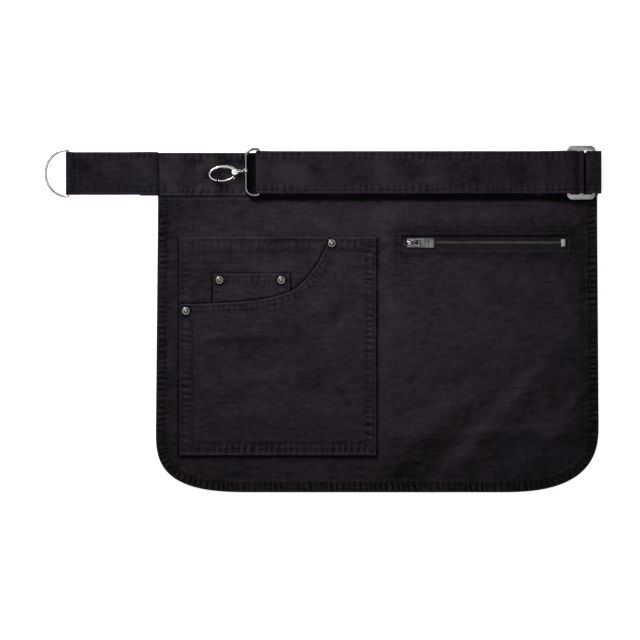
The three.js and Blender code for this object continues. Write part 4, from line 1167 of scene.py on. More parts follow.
class APRON_OT_panel(Maker, bpy.types.Operator):
    """The apron's panel, with its hem and the window of the zip pocket"""

    bl_idname = "apron.panel"
    bl_label = "Panel"

    def make(self, context):
        cloth = context.scene.apron_cloth
        spacing = cloth.spacing * 1000
        sides = panel_sides(spacing)
        top = -(BAND_HEIGHT - SEAM)
        notch = [(NOTCH[0], NOTCH[1]), (NOTCH[0], top)]
        closing = evenly([sides[-1], *notch, sides[0]], spacing)[1:-1]
        outline = np.vstack([sides, closing])
        fine = panel_sides(1.0)
        hem_rows = [offset(fine, d) for d in (HEM_WIDTH, HEM_WIDTH + HEM_STEP, 2.4, 4.4, 6.2)]
        below = [row[row[:, 1] < -BAND_HEIGHT - 3] for row in hem_rows]
        stitch = offset(fine, PANEL_SEAM)
        stitch = stitch[stitch[:, 1] < -BAND_HEIGHT - 1]
        zip_seams = [
            np.vstack([row, row[:1]])
            for row in (
                rectangle(*grown(WINDOW, 2.3, 2.3, 2.3, 2.3), SEAM_STEP),
                rectangle(*grown(WINDOW, 5.2, 4.9, 6.6, 5.2), SEAM_STEP),
            )
        ]
        net = Net(
            outline, spacing, seams=[thinned(stitch, SEAM_STEP), *zip_seams],
            rows=[thinned(row, ROW_STEP) for row in below], holes=[WINDOW],
        )
        x, y = net.points.T
        depth = -y
        edge, along = net.beside(sides)
        hem = (1 - smooth(edge, HEM_WIDTH, HEM_WIDTH + HEM_STEP)) * smooth(depth, 43, 47)
        bottom = panel_lift(x, y) + ground(x, y)
        rope = roping(along, edge, 11) * bell(edge, 5, 5) * smooth(depth, 44, 50)
        thick = WALL + HEM_EXTRA * hem + cloth.pucker * 1000 * rope - cloth.groove * 1000 * net.groove
        relief = ground(x, y) + 0.25 * fold_height(x, y)
        beside = np.maximum.reduce([x - POCKET[1], depth - POCKET[3], POCKET[0] - x])
        covered = smooth(x, *STRAP_START)
        # Painted shadow of the waistband and strap on the panel, weaker where the strap doesn't cover the
        # band
        band_shadow = (1 - smooth(depth, 45.5, 50)) * mix(0.12, 1.0, covered)
        valley, _ = from_segment(x, y, 245, -322, 387, -200)
        # Lighter on pucker ridges and higher lying cloth, as wear and painted light of the relief; darker
        # over the hem and towards the edges
        wear_and_shade = 1.4 * rope + 0.55 * (relief - 0.5) - 0.3 * hem - 0.45 * (1 - smooth(edge, 0, 75))
        # A pale line just below the waistband, where the strap doesn't cover it
        wear_and_shade += 1.1 * (1 - covered) * bell(depth, BAND_HEIGHT + 3, 1.2)
        # Painted shadow below the waistband and strap, and painted shadow beside the pocket's sides
        wear_and_shade -= 2.6 * band_shadow + 1.7 * bell(beside, 0, 1.9) * (depth > POCKET[2])
        # Painted shade along the fold's valley and towards the lower right
        wear_and_shade -= 0.6 * bell(valley, 0, 15) + 0.15 * smooth(x - y, 500, 640)
        piece = laid_cloth("panel_cloth", net, bottom, bottom + thick, finish_of("dark_canvas"), wear_and_shade)
        seat(piece, "apron_panel", "root")
        sew(stitch, lying_on(panel_lift, WALL + HEM_EXTRA - 0.18))
        for seam in zip_seams:
            sew(seam, lying_on(panel_lift, WALL - 0.18))


class APRON_OT_waistband(Maker, bpy.types.Operator):
    """The waistband, folded along its top edge round the panel"""

    bl_idname = "apron.waistband"
    bl_label = "Waistband"

    def make(self, context):
        cloth = context.scene.apron_cloth
        outer, inner = BAND_TOP / 2, BAND_SLOT / 2
        depths = {outer, 2.1, BAND_HEIGHT - 0.9, BAND_HEIGHT - 0.35, BAND_HEIGHT}
        depths |= {seam + d for seam in BAND_SEAMS for d in (-0.8, 0.0, 0.8)}
        depths |= set(np.arange(6.5, BAND_HEIGHT - 4.5, 2.6).tolist())
        depths = sorted(depths)
        rows = []
        for d in depths[::-1]:
            sink = 0.3 if min(abs(d - seam) for seam in BAND_SEAMS) < 1e-6 else 0.0
            edge = 1 - float(round_over((BAND_HEIGHT - d) / 0.9))
            rows.append((-d, BAND_TOP - WALL * 0.4 * edge - sink, "top"))
        outer_steps, inner_steps = 12, 8
        for k in range(1, outer_steps):
            a = math.pi / 2 - math.pi * k / outer_steps
            rows.append((-outer + outer * math.cos(a), outer + outer * math.sin(a), "fold"))
        rows += [(-d, 0.0, "under") for d in depths]
        rows += [(-d, WALL, "in") for d in depths[::-1]]
        for k in range(1, inner_steps):
            a = -math.pi / 2 + math.pi * k / inner_steps
            rows.append((-outer + inner * math.cos(a), outer + inner * math.sin(a), "in"))
        rows += [(-d, BAND_TOP - WALL, "in") for d in depths]
        stations = np.linspace(-BAND_LAP, BAND_LENGTH, 250)
        points, wear_and_shade = [], []
        for x in stations:
            for y, z, where in rows:
                lift, wear = self.worn(cloth, x, y, z) if where == "top" else (0.0, 0.0)
                points.append((x, y, z + lift))
                wear_and_shade.append(wear)
        count, faces = len(rows), []
        for i in range(len(stations) - 1):
            for k in range(count):
                a, b = i * count + k, i * count + (k + 1) % count
                faces.append((a, b, b + count, a + count))
        last = (len(stations) - 1) * count
        half = 2 * len(depths) + outer_steps - 1
        for base in (0, last):
            for k in range(half - 1):
                a, b = base + k, base + k + 1
                share = k / (half - 1)
                c = base + half + round((1 - share) * (count - half - 1))
                d = base + half + round((1 - (k + 1) / (half - 1)) * (count - half - 1))
                faces.append((a, b, c) if c == d else (a, b, d, c))
        piece = add_mesh("waistband_cloth", points, faces, finish_of("dark_canvas"))
        store_wear_and_shade(piece, wear_and_shade)
        clean_mesh(piece)
        seat(piece, "waistband", "root")
        for seam in BAND_SEAMS:
            sew([(-BAND_LAP + 3, -seam), (BAND_LENGTH - 2, -seam)], BAND_TOP - THREAD_SINK)

    @staticmethod
    def worn(cloth, x, y, z):
        """Lift of a point on the outer side, and how its colour is changed by wear, painted light of the
        relief and painted shade.
        """
        low_seam, top_seam = bell(-y, BAND_HEIGHT - 3, 5), bell(-y, 3, 4)
        rope = float(roping(x, -y, 21)) * max(low_seam, top_seam)
        waves = float(grain(x + 0.3 * y, y / 2, 16, 22)) * 0.6 + float(grain(x, y, 7, 23)) * 0.4
        lift = min(0.15, cloth.pucker * 700 * rope + 0.5 * (waves - 0.7))
        # Painted shadows in the gap under the strap ring and below the strap's lower edge
        ring_gap_shadow = smooth(x, 87, 90) * (1 - smooth(x, 99, 103))
        strap_shadow = smooth(-y, 40, 41.2) * smooth(x, *STRAP_START)
        hook_x, hook_y, wide, high = HOOK_SHADOW_OVAL
        round_hook = 9 * (math.hypot((x - hook_x) / wide, (y - hook_y) / high) - 1)
        # Painted shadows under the ring and strap, round the hook's bow and in the seam grooves
        dark = 2.4 * float(ring_gap_shadow) + 1.8 * float(strap_shadow)
        dark += 0.7 * bell(round_hook, 0, 2.6) + (0.8 if z < BAND_TOP - 0.25 and -y < 42 else 0)
        # Lighter on pucker ridges and where the waves lift the cloth, as wear and painted light of the relief
        wear = 1.1 * rope + 3.2 * (waves - 0.5) - dark - 0.3
        # A pale line near the lower edge, left of the strap
        return lift, wear + 1.5 * bell(-y, BAND_HEIGHT - 1.1, 0.8) * (x < STRAP_START[0])


class APRON_OT_straps(Maker, bpy.types.Operator):
    """The ring tab on the left and the belt strap with its sewn-back tail"""

    bl_idname = "apron.straps"
    bl_label = "Straps"

    def make(self, context):
        cloth = context.scene.apron_cloth
        height = cloth.pucker * 1000

        def worn(seed, lift):
            def detail(travel, y, rim):
                rope, edge = roping(travel, rim, seed), bell(rim, 3.5, 5)
                waves = grain(travel + 0.35 * y, y / 2.2, 17, seed + 5) * 0.7
                waves += grain(travel - 0.5 * y, y, 9, seed + 6) * 0.3
                bump = height * (0.55 * (1 + rope) * edge + lift * waves)
                # Colour: lighter on the pucker ridges near the edges and where the waves lift the cloth, as
                # wear and painted light of the relief
                return bump * smooth(rim, 0, 1.6), 1.1 * rope * edge + 2.3 * (waves - 0.5) * (1 - edge)

            return detail

        route = tab_route()
        narrow = [
            float(smooth(x, -BAND_LAP - 3.2, -BAND_LAP - 1.2)) if z < BAND_TOP - GAP else 0.0
            for x, z in route
        ]
        piece, length = cloth_strap(
            "ring_tab_cloth", route, TAB_DEPTH, TAB_WIDTH, narrow, TAB_SEAMS, 1.9, worn(31, 1.2)
        )
        seat(piece, "ring_tab", "root")
        route = belt_route()
        narrow = [
            1 - float(smooth(z, BAND_TOP, BAND_TOP + 2)) if x > BAND_LENGTH - 25 else 0.0
            for x, z in route
        ]
        piece, length = cloth_strap(
            "belt_strap_cloth", route, STRAP_DEPTH, STRAP_WIDTH, narrow, STRAP_SEAMS, 5.6, worn(41, 1.6)
        )
        seat(piece, "belt_strap", "root")
        self.sew_rows()

    def sew_rows(self):
        foot, above = -TAB_DEPTH - TAB_WIDTH / 2, 0.65
        low, middle, high = (foot + seam for seam in TAB_SEAMS)
        for y in (low, middle, high):
            sew([(-81, y), (-BAND_LAP - 13, y)], 2.75)
            sew([(-BAND_LAP + 1, y), (-1.5, y)], STRAP_LOW + above)
        for x, start, z in (
            (-80.5, low, 2.85), (-11, middle, STRAP_LOW + above), (-2.2, low, STRAP_LOW + above)
        ):
            sew([(x, start), (x, high)], z)
        foot = -STRAP_DEPTH - STRAP_WIDTH / 2
        for seam in STRAP_SEAMS:
            sew([(116, foot + seam), (376, foot + seam)], UNDER_BAR + above)
        for x in (382, 386.5):
            sew([(x, foot + 3), (x, foot + STRAP_WIDTH - 3)], 8.32)


class APRON_OT_pockets(Maker, bpy.types.Operator):
    """The patch pocket: back layer, coin pocket and the front layer with its scooped mouth"""

    bl_idname = "apron.pockets"
    bl_label = "Pockets"

    def make(self, context):
        cloth = context.scene.apron_cloth
        values = cloth, cloth.spacing * 1000, cloth.groove * 1000, finish_of("dark_canvas")
        back, coin = self.back_layer(*values), self.coin_layer(*values[1:])
        front, area = self.front_layer(*values)
        area / 1e6

    @staticmethod
    def stronger(first, second):
        return np.where(np.abs(first) > np.abs(second), first, second)

    def back_layer(self, cloth, spacing, groove, canvas):
        left, right, top, bottom = POCKET
        high, low_seam = MOUTH_SEAMS
        outline = rectangle(left, right, top, bottom, spacing)
        seams = [[(left + 2, -top - d), (right - 2, -top - d)] for d in MOUTH_SEAMS]
        seams.append([(left + SIDE_SEAM, -top - 2), (left + SIDE_SEAM, -bottom + 2)])
        seams.append([(left + LEFT_SEAM, -top - 4), (left + LEFT_SEAM, -top - low_seam)])
        rows = [
            evenly([(left + 1, -top - h), (right - 1, -top - h)], 1.8)
            for h in (1.8, 6.4, 9.0, 11.6, MOUTH_HEM, MOUTH_HEM + HEM_STEP)
        ]
        rows += [evenly([(left + e, -top - 17), (left + e, -top - 70)], ROW_STEP) for e in (5, 7.4, 9.8)]
        net = Net(outline, spacing, seams=[evenly(seam, SEAM_STEP) for seam in seams], rows=rows)
        x, y = net.points.T
        below = -y - top
        hem = 1 - smooth(below, MOUTH_HEM, MOUTH_HEM + HEM_STEP)
        low = back_bottom(x, y) + ground(x, y)
        side_rope = roping(-y, x - left, 43) * bell(x, left + 6, 5)
        rope = self.stronger(0.55 * roping(x, below, 46) * bell(below, 9, 6), side_rope)
        thick = WALL + MOUTH_EXTRA * hem + cloth.pucker * 500 * np.minimum(rope, 0.2) - groove * net.groove
        dents = grain(x, y, 23, 48) + 0.5 * grain(x, y, 9, 49) - 0.75
        # Lighter on pucker ridges, as wear and painted light; uneven blotches; painted shadow above the
        # front's lip and round the coin pocket's edges
        wear_and_shade = 1.1 * rope + 0.8 * dents - lip_shade(net) - 2.6 * bell(outside(COIN, x, y), 0, 1.5)
        piece = laid_cloth("pocket_back_cloth", net, low, low + thick, canvas, wear_and_shade)
        seat(piece, "pocket_back", "root")
        scoop_end = left + 0.76 * (right - left)
        on_hem = lying_on(back_bottom, WALL + MOUTH_EXTRA - THREAD_SINK)
        for depth, end in ((high, scoop_end), (low_seam, scoop_end - 4)):
            sew([(left + 3, -top - depth), (end, -top - depth)], on_hem)
        for x in (left + SIDE_SEAM, left + LEFT_SEAM):
            sew([(x, -top - high), (x, -top - low_seam)], on_hem)
        for x in (left + SIDE_SEAM, left + LEFT_SEAM):
            sew([(x, -top - 16), (x, -top - 64)], lying_on(back_bottom, WALL - THREAD_SINK))
        return piece

    def coin_layer(self, spacing, groove, canvas):
        x0, x1, top, bottom = COIN
        step = spacing * 0.85
        sides = x0 + COIN_SIDE, x1 - COIN_SIDE, x1 - COIN_EXTRA
        across = [[(x0 + 2, -top - d), (x1 - 2, -top - d)] for d in COIN_SEAMS]
        starts = (COIN_SEAMS[0], COIN_SEAMS[0], 9)
        down = [[(x, -top - start), (x, -bottom + 1)] for x, start in zip(sides, starts)]
        folds = COIN_HEM, COIN_HEM + HEM_STEP
        rows = [evenly([(x0 + 1, -top - h), (x1 - 1, -top - h)], 2.0) for h in folds]
        seams = [evenly(seam, SEAM_STEP) for seam in across + down]
        net = Net(rectangle(x0, x1, top, bottom, step), step, seams=seams, rows=rows)
        x, y = net.points.T
        below = -y - top
        hem = 1 - smooth(below, COIN_HEM, COIN_HEM + HEM_STEP)
        low = coin_bottom(x, y) + ground(x, y)
        side = np.minimum(x - x0, x1 - x)
        rope = roping(-y + 40 * (x > (x0 + x1) / 2), side, 51) * bell(side, 3, 4)
        rope += roping(x, below, 53) * bell(below, 6, 4)
        thick = WALL + LIGHT_HEM * hem - groove * 0.8 * net.groove + 0.1 * np.minimum(rope, 1)
        # Lighter on pucker ridges, as wear and painted light; uneven tone; painted shadow above the front's
        # lip
        wear_and_shade = 0.9 * rope + 0.7 * (grain(x, y, 14, 55) - 0.5) - lip_shade(net)
        piece = laid_cloth("coin_pocket_cloth", net, low, low + thick, canvas, wear_and_shade)
        seat(piece, "coin_pocket", "root")
        for seam in across:
            sew(seam, lying_on(coin_bottom, WALL + LIGHT_HEM - THREAD_SINK))
        for x in sides:
            sew([(x, -top - 10.5), (x, -top - 38)], lying_on(coin_bottom, WALL - THREAD_SINK))
        return piece

    def front_layer(self, cloth, spacing, groove, canvas):
        left, right, top, bottom = POCKET
        mouth = scoop_line(spacing * 0.8)
        upper = np.vstack([mouth, evenly([mouth[-1], (right, -top)], spacing)[1:]])
        below = [(right, -top), (right, -bottom), (left, -bottom), tuple(mouth[0])]
        outline = np.vstack([upper, evenly(below, spacing)[1:-1]])[::-1]
        fine = scoop_line(1.0)

        def below_lip(distance, from_left, from_top):
            line = offset(fine, -distance)
            return line[(line[:, 0] > left + from_left) & (line[:, 1] < -top - from_top)]

        start = -top - SCOOP[0][1] * (bottom - top) - 10
        side, foot = SIDE_SEAM, -bottom + 6
        straight = (
            ((left + side, start), (left + side, foot)),
            ((left + LEFT_SEAM, start - 2), (left + LEFT_SEAM, foot)),
            ((right - side, -top - 2), (right - side, foot)),
            ((right - RIGHT_SEAM, -top - 4), (right - RIGHT_SEAM, foot)),
            ((left + side, -bottom + FOOT_SEAMS[0]), (right - side, -bottom + FOOT_SEAMS[0])),
            ((left + LEFT_SEAM, -bottom + FOOT_SEAMS[1]), (right - RIGHT_SEAM, -bottom + FOOT_SEAMS[1])),
            ((left + 0.8 * (right - left), -top - MOUTH_SEAMS[0]), (right - 2, -top - MOUTH_SEAMS[0])),
            ((left + 0.78 * (right - left), -top - MOUTH_SEAMS[1]), (right - 2, -top - MOUTH_SEAMS[1])),
        )
        seams = [thinned(below_lip(d, 1, 3), SEAM_STEP) for d in LIP_SEAMS]
        seams += [evenly(line, SEAM_STEP) for line in straight]
        folds = SCOOP_HEM, SCOOP_HEM + HEM_STEP, 5, 6.9
        rows = [thinned(below_lip(d, 1.2, 1.2), ROW_STEP) for d in folds]
        beside = [((left + e, start - 3), (left + e, -bottom + 14)) for e in (5, 7.4, 9.8)]
        beside += [((right - e, -top - 17), (right - e, -bottom + 14)) for e in (4.6, 6.8)]
        beside += [((left + LEFT_SEAM, -bottom + e), (right - RIGHT_SEAM, -bottom + e)) for e in (7.6, 9.7)]
        rows += [evenly(line, ROW_STEP) for line in beside]
        net = Net(outline, spacing, seams=seams, rows=rows)
        x, y = net.points.T
        edge, along = net.beside(upper)
        around, turned_at = net.beside(below)
        inset = np.minimum.reduce([x - left, right - x, y + bottom])
        loose = smooth(inset, 11, 30) * smooth(edge, 12, 34)
        wrinkle = creases(x, y, POCKET_CREASES) + 0.55 * grain(x, y, 38, 61) + 0.22 * grain(x, y, 15, 62)
        low = front_bottom(x, y) + ground(x, y) + cloth.wrinkles * loose * wrinkle
        side_rope = roping(turned_at, around, 63) * bell(around, 6.5, 4.5)
        rope = self.stronger(0.6 * roping(along, edge, 66) * bell(edge, 6, 4), side_rope)
        hem = LIGHT_HEM * (1 - smooth(edge, SCOOP_HEM, SCOOP_HEM + HEM_STEP))
        thick = WALL + hem + cloth.pucker * 1000 * rope - groove * net.groove
        # Lighter on pucker ridges and wrinkle crests, darker in their hollows: wear and painted light and
        # shade of the relief
        wear_and_shade = 1.3 * rope + 0.9 * loose * (wrinkle - 0.6)
        piece = laid_cloth("pocket_front_cloth", net, low, low + thick, canvas, wear_and_shade)
        seat(piece, "pocket_front", "root")

        def with_hem(px, py):
            near = np.min(np.hypot(px[:, None] - upper[:, 0], py[:, None] - upper[:, 1]), axis=1)
            return front_bottom(px, py) + LIGHT_HEM * (1 - smooth(near, SCOOP_HEM, SCOOP_HEM + HEM_STEP))

        for seam in seams:
            sew(seam, lying_on(with_hem, WALL - THREAD_SINK / 2))
        return piece, net.area


class APRON_OT_zip_pocket(Maker, bpy.types.Operator):
    """The pouch behind the panel, its zip tapes, teeth, stop, slider and plain pull"""

    bl_idname = "apron.zip_pocket"
    bl_label = "Zip pocket"

    def make(self, context):
        self.pouch()
        self.tapes()
        self.teeth()
        self.slider()

    def pouch(self):
        x0, x1, top, bottom = BAG
        spacing = 4.0
        corners = [(x0, -bottom), (x1 - 30, -bottom), (x1, -bottom + 39), (x1, -top), (x0, -top)]
        outline = evenly(corners, spacing, closed=True)
        window = grown(WINDOW, 3.5, 3.5, 6.3, 6.3)
        net, upper = Net(outline, spacing), Net(outline, spacing, holes=[window])
        floor, wall = np.zeros(len(net.points)), WALL * 0.9
        roof = bag_height(-upper.points[:, 1]) - GAP
        back = self.sheet_of("panel_pouch_back", net, floor, floor + wall, outline)
        front = self.sheet_of("panel_pouch", upper, np.maximum(roof - wall, WALL), roof, outline)
        for piece in (front, back):
            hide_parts("zip_pocket_bag")

    def sheet_of(self, name, net, low, high, outline):
        piece = laid_cloth(name, net, low, high, finish_of("lining_cotton"))
        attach(piece, "root")
        return piece

    def tapes(self):
        start, end = WINDOW[0] - 3.2, WINDOW[1] + 3.2
        half, reach = 3.1, 13.75
        columns = np.arange(start, end + 0.1, 1.6)
        columns[-1] = end
        rows = [half + step for step in (0, 0.35, 0.9, 2.2, 3.6, 5.2, 7.4)] + [reach - 0.6, reach]
        heights = [0.62, 0.82, 0.85, 0.8, 0.78, 0.78, 0.75, 0.7, 0.6]
        low = ZIP_MIDDLE - 0.5
        for side, name in ((1, "zip_tape_upper"), (-1, "zip_tape_lower")):
            places = [(x, -ZIP_LINE + side * r) for x in columns for r in rows]
            verts = [(*place, low + h * 1.15) for place, h in zip(places, heights * len(columns))]
            verts += [(*place, low) for place in places]
            faces = slab_faces(len(columns), len(rows))
            piece = add_mesh(name + "_weave", verts, faces, finish_of("zip_tape_weave"))
            # Painted shadow of the window's upper edge on the upper tape; the lower tape is a little lighter
            # there
            shade = -(0.7 + 0.9 * side) * smooth(np.array(rows * len(columns)), 4.6, 7.2)
            store_wear_and_shade(piece, np.tile(shade, 2))
            clean_mesh(piece)
            seat(piece, name, "root")

    def teeth(self):
        line = [(x, -ZIP_LINE, ZIP_MIDDLE) for x in (WINDOW[0] + 9.2, WINDOW[1] - 8.4)]
        rail = add_mesh("zip_teeth", line, [], edges=[(0, 1)])
        grow(rail, "zip_teeth", teeth, {
            "Pitch": 0.0015, "Length": 0.00078, "Width": 0.0036, "Height": 0.0017,
            "Stagger": 0.00058, "Material": finish_of("worn_teeth"),
        })
        seat(rail, "zip_chain", "root")
        stop = solid_piece("zip_end_stop", box_shape(0, 5, -4, 4, -0.6, 0.75), finish_of("brushed_steel"))
        self.place(stop, WINDOW[1] - 8.0, 4.45)
        round_edges(stop, 0.5, 3)
        seat(stop, "zip_stop", "root")

    def slider(self):
        middle, top = SLIDER
        steel = finish_of("zip_steel")
        arch = [(4 * math.cos(t), 0, 3.6 * math.sin(t) - 0.4) for t in np.linspace(0, math.pi, 25)]
        dome = ((0, 0), (2.5, 0), (2.65, 0.3), (2.3, 0.75), (1.4, 1.0), (0, 1.05))
        pieces = (
            ("body", box_shape(-4.75, 4.75, -4.6, 4.6, 4.5, top), 0, 0, steel),
            ("back", box_shape(-4.75, 4.75, -4.6, 4.6, 1.3, 2.1), 0, 0, steel),
            ("bail", tube(arch, 0.7, sides=14), 0, top, steel),
            ("dome", turned(dome, 28), -2.3, top - 0.05, finish_of("polished_nickel")),
            ("post", box_shape(-3, -1, -1.1, 1.1, 1.3, top), 0, 0, steel),
        )
        rounding = {"body": (0.35, 3), "back": (0.3, 2)}
        for name, shape, x, z, finish in pieces:
            piece = solid_piece("zip_slider_" + name, shape, finish)
            self.place(piece, middle + x, z)
            if name in rounding:
                round_edges(piece, *rounding[name])
            seat(piece, "zip_slider", "root")
        seat(zip_pull_piece(steel), "zip_pull", "zip_pull")

    @staticmethod
    def place(piece, x, z):
        piece.data.transform(Matrix.Translation(Vector((x, -ZIP_LINE, z)) / 1000))


def zip_pull_piece(material):
    """A plain flat pull with a hole for the slider's bail, lying back over the teeth."""
    half, neck, end, corner = 4.95, 2.9, 21.6, 1.6
    right = [
        (end - corner + corner * math.sin(a), -half + corner - corner * math.cos(a))
        for a in np.linspace(0, math.pi / 2, 8)
    ]
    low = [(-0.6, -neck + 0.6), (0, -neck), (2.4, -neck), (4.2, -half), *right]
    outline = low + [(x, -y) for x, y in reversed(low)]
    plate = solid_piece("zip_pull_plain", prism(outline, -0.5, 0.5), material)
    cut_away(plate, box_shape(0.6, 5.2, -1.7, 1.7, -2, 2))
    for start, stop in ((7.4, 9.6), (11.8, 13.2), (15.4, 18.2)):
        cut_away(plate, box_shape(start, stop, -2.9, 2.9, 0.05, 2))
    round_edges(plate, 0.22, 2)
    shift = Matrix.Translation(-ORIGIN / 1000)
    x, z = PULL_HINGE
    tip = math.asin((z - 5.0) / end)
    at = Matrix.Translation((Vector((x, -ZIP_LINE, z)) + ORIGIN) / 1000)
    plate.data.transform(at @ Matrix.Rotation(tip, 4, "Y") @ shift)
    return plate


def grow(piece, name, build, values):
    """Grows copies of a shape along a piece's edges by Geometry Nodes, and keeps the plain mesh."""
    tree = bpy.data.node_groups.new(name, "GeometryNodeTree")
    kinds = {float: "NodeSocketFloat", int: "NodeSocketInt", bpy.types.Material: "NodeSocketMaterial"}
    tree.interface.new_socket("Geometry", in_out="INPUT", socket_type="NodeSocketGeometry")
    keys = {
        label: tree.interface.new_socket(label, in_out="INPUT", socket_type=kinds[type(value)]).identifier
        for label, value in values.items()
    }
    tree.interface.new_socket("Geometry", in_out="OUTPUT", socket_type="NodeSocketGeometry")
    nodes = Nodes(tree)
    sockets = tree.nodes.new("NodeGroupInput").outputs
    source = {label: Value(nodes, sockets[label]) for label in ("Geometry", *values)}
    curve = nodes.node("GeometryNodeMeshToCurve", inputs={"Mesh": source["Geometry"]})
    grown = build(nodes, source, curve)
    real = nodes.node("GeometryNodeRealizeInstances", inputs={"Geometry": grown})
    settings = {"Geometry": real, "Material": source["Material"]}
    shaded = nodes.node("GeometryNodeSetMaterial", inputs=settings)
    nodes.feed(tree.nodes.new("NodeGroupOutput").inputs[0], shaded)
    modifier = piece.modifiers.new("Grow", "NODES")
    modifier.node_group = tree
    for label, value in values.items():
        modifier[keys[label]] = value
    apply_modifiers(piece)
    if not len(piece.data.polygons):
        raise RuntimeError(f"{piece.name} came out empty")
    piece.data.shade_smooth()


def spaced(nodes, source, curve, segments, rings, scale, **turn):
    """Small balls at even steps along a curve, each stretched to a scale."""
    points = nodes.node(
        "GeometryNodeResampleCurve", {"mode": "LENGTH"}, {"Curve": curve, "Length": source["Pitch"]}
    )
    ball = nodes.node(
        "GeometryNodeMeshUVSphere", inputs={"Segments": segments, "Rings": rings, "Radius": 0.5}
    )
    size = nodes.node("ShaderNodeCombineXYZ", inputs=dict(enumerate(scale)))
    return nodes.node(
        "GeometryNodeInstanceOnPoints", inputs={"Points": points, "Instance": ball, "Scale": size, **turn}
    )


def stitches(nodes, source, curve):
    """Short rounded threads laid end to end along the seam lines."""
    tangent = nodes.node("GeometryNodeInputTangent")
    turn = nodes.node("FunctionNodeAlignRotationToVector", {"axis": "X"}, {"Vector": tangent})
    uneven = nodes.node(
        "FunctionNodeRandomValue", {"data_type": "FLOAT"}, {2: 0.85, 3: 1.1, "Seed": source["Seed"]}, output=1
    )
    scale = source["Length"] * uneven, source["Thread"], source["Thread"] * 0.8
    return spaced(nodes, source, curve, 6, 4, scale, Rotation=turn)


def teeth(nodes, source, curve):
    """Two interlocking rows of zip teeth along a line."""
    joined = nodes.tree.nodes.new("GeometryNodeJoinGeometry")
    for side in (1, -1):
        step = {0: source["Pitch"] * (0.25 * side), 1: source["Stagger"] * float(side), 2: 0.0}
        shift = nodes.node("ShaderNodeCombineXYZ", inputs=step)
        line = nodes.node("GeometryNodeTransform", inputs={"Geometry": curve, "Translation": shift})
        scale = [source[label] for label in ("Length", "Width", "Height")]
        nodes.feed(joined.inputs[0], spaced(nodes, source, line, 8, 5, scale))
    return Value(nodes, joined.outputs[0])


class APRON_OT_rings(Maker, bpy.types.Operator):
    """The D-ring in the tab and the square ring in the strap's fold"""

    bl_idname = "apron.rings"
    bl_label = "Rings"

    def make(self, context):
        nickel = finish_of("polished_nickel")
        reach = 23.15
        shape = tube(self.d_points(reach, 1.8), WIRE, closed=True, sides=20)
        tip = Matrix.Rotation(-math.asin((TAB_RING[1] - WIRE) / reach), 4, "Y")
        at = Matrix.Translation((TAB_RING[0], -TAB_DEPTH, TAB_RING[1]))
        ring = solid_piece("d_ring_wire", moved(shape, at @ tip), nickel)
        seat(ring, "d_ring", "d_ring")
        shape = tube(self.square_points(23.05, 13.0), WIRE, closed=True, sides=20)
        at = Matrix.Translation((STRAP_RING_X, -STRAP_DEPTH, RING_Z))
        ring = solid_piece("strap_ring_wire", moved(shape, at), finish_of("worn_nickel"))
        seat(ring, "strap_ring", "strap_ring")

    @staticmethod
    def arc(cx, cy, rx, ry, start, end, steps):
        turn = np.linspace(start, end, steps)
        return [(cx + rx * math.cos(t), cy + ry * math.sin(t), 0) for t in turn]

    def d_points(self, half, corner):
        quarter = math.pi / 2
        points = [(0, mix(-half + corner, half - corner, k / 16), 0) for k in range(16)]
        points += self.arc(-corner, half - corner, corner, corner, 0, quarter, 8)
        points += self.arc(-corner, 0, half - corner, half, quarter, 3 * quarter, 56)[1:]
        points += self.arc(-corner, -half + corner, corner, corner, -quarter, 0, 8)[1:-1]
        return points

    def square_points(self, half, length):
        quarter, small, wide = math.pi / 2, 1.8, 8.0
        points = [(0, mix(-half + small, half - small, k / 16), 0) for k in range(16)]
        points += self.arc(-small, half - small, small, small, 0, quarter, 8)
        points += self.arc(-length + wide, half - wide, wide, wide, quarter, 2 * quarter, 14)
        points += self.arc(-length + wide, -half + wide, wide, wide, 2 * quarter, 3 * quarter, 14)
        points += self.arc(-small, -half + small, small, small, -quarter, 0, 8)[:-1]
        return points


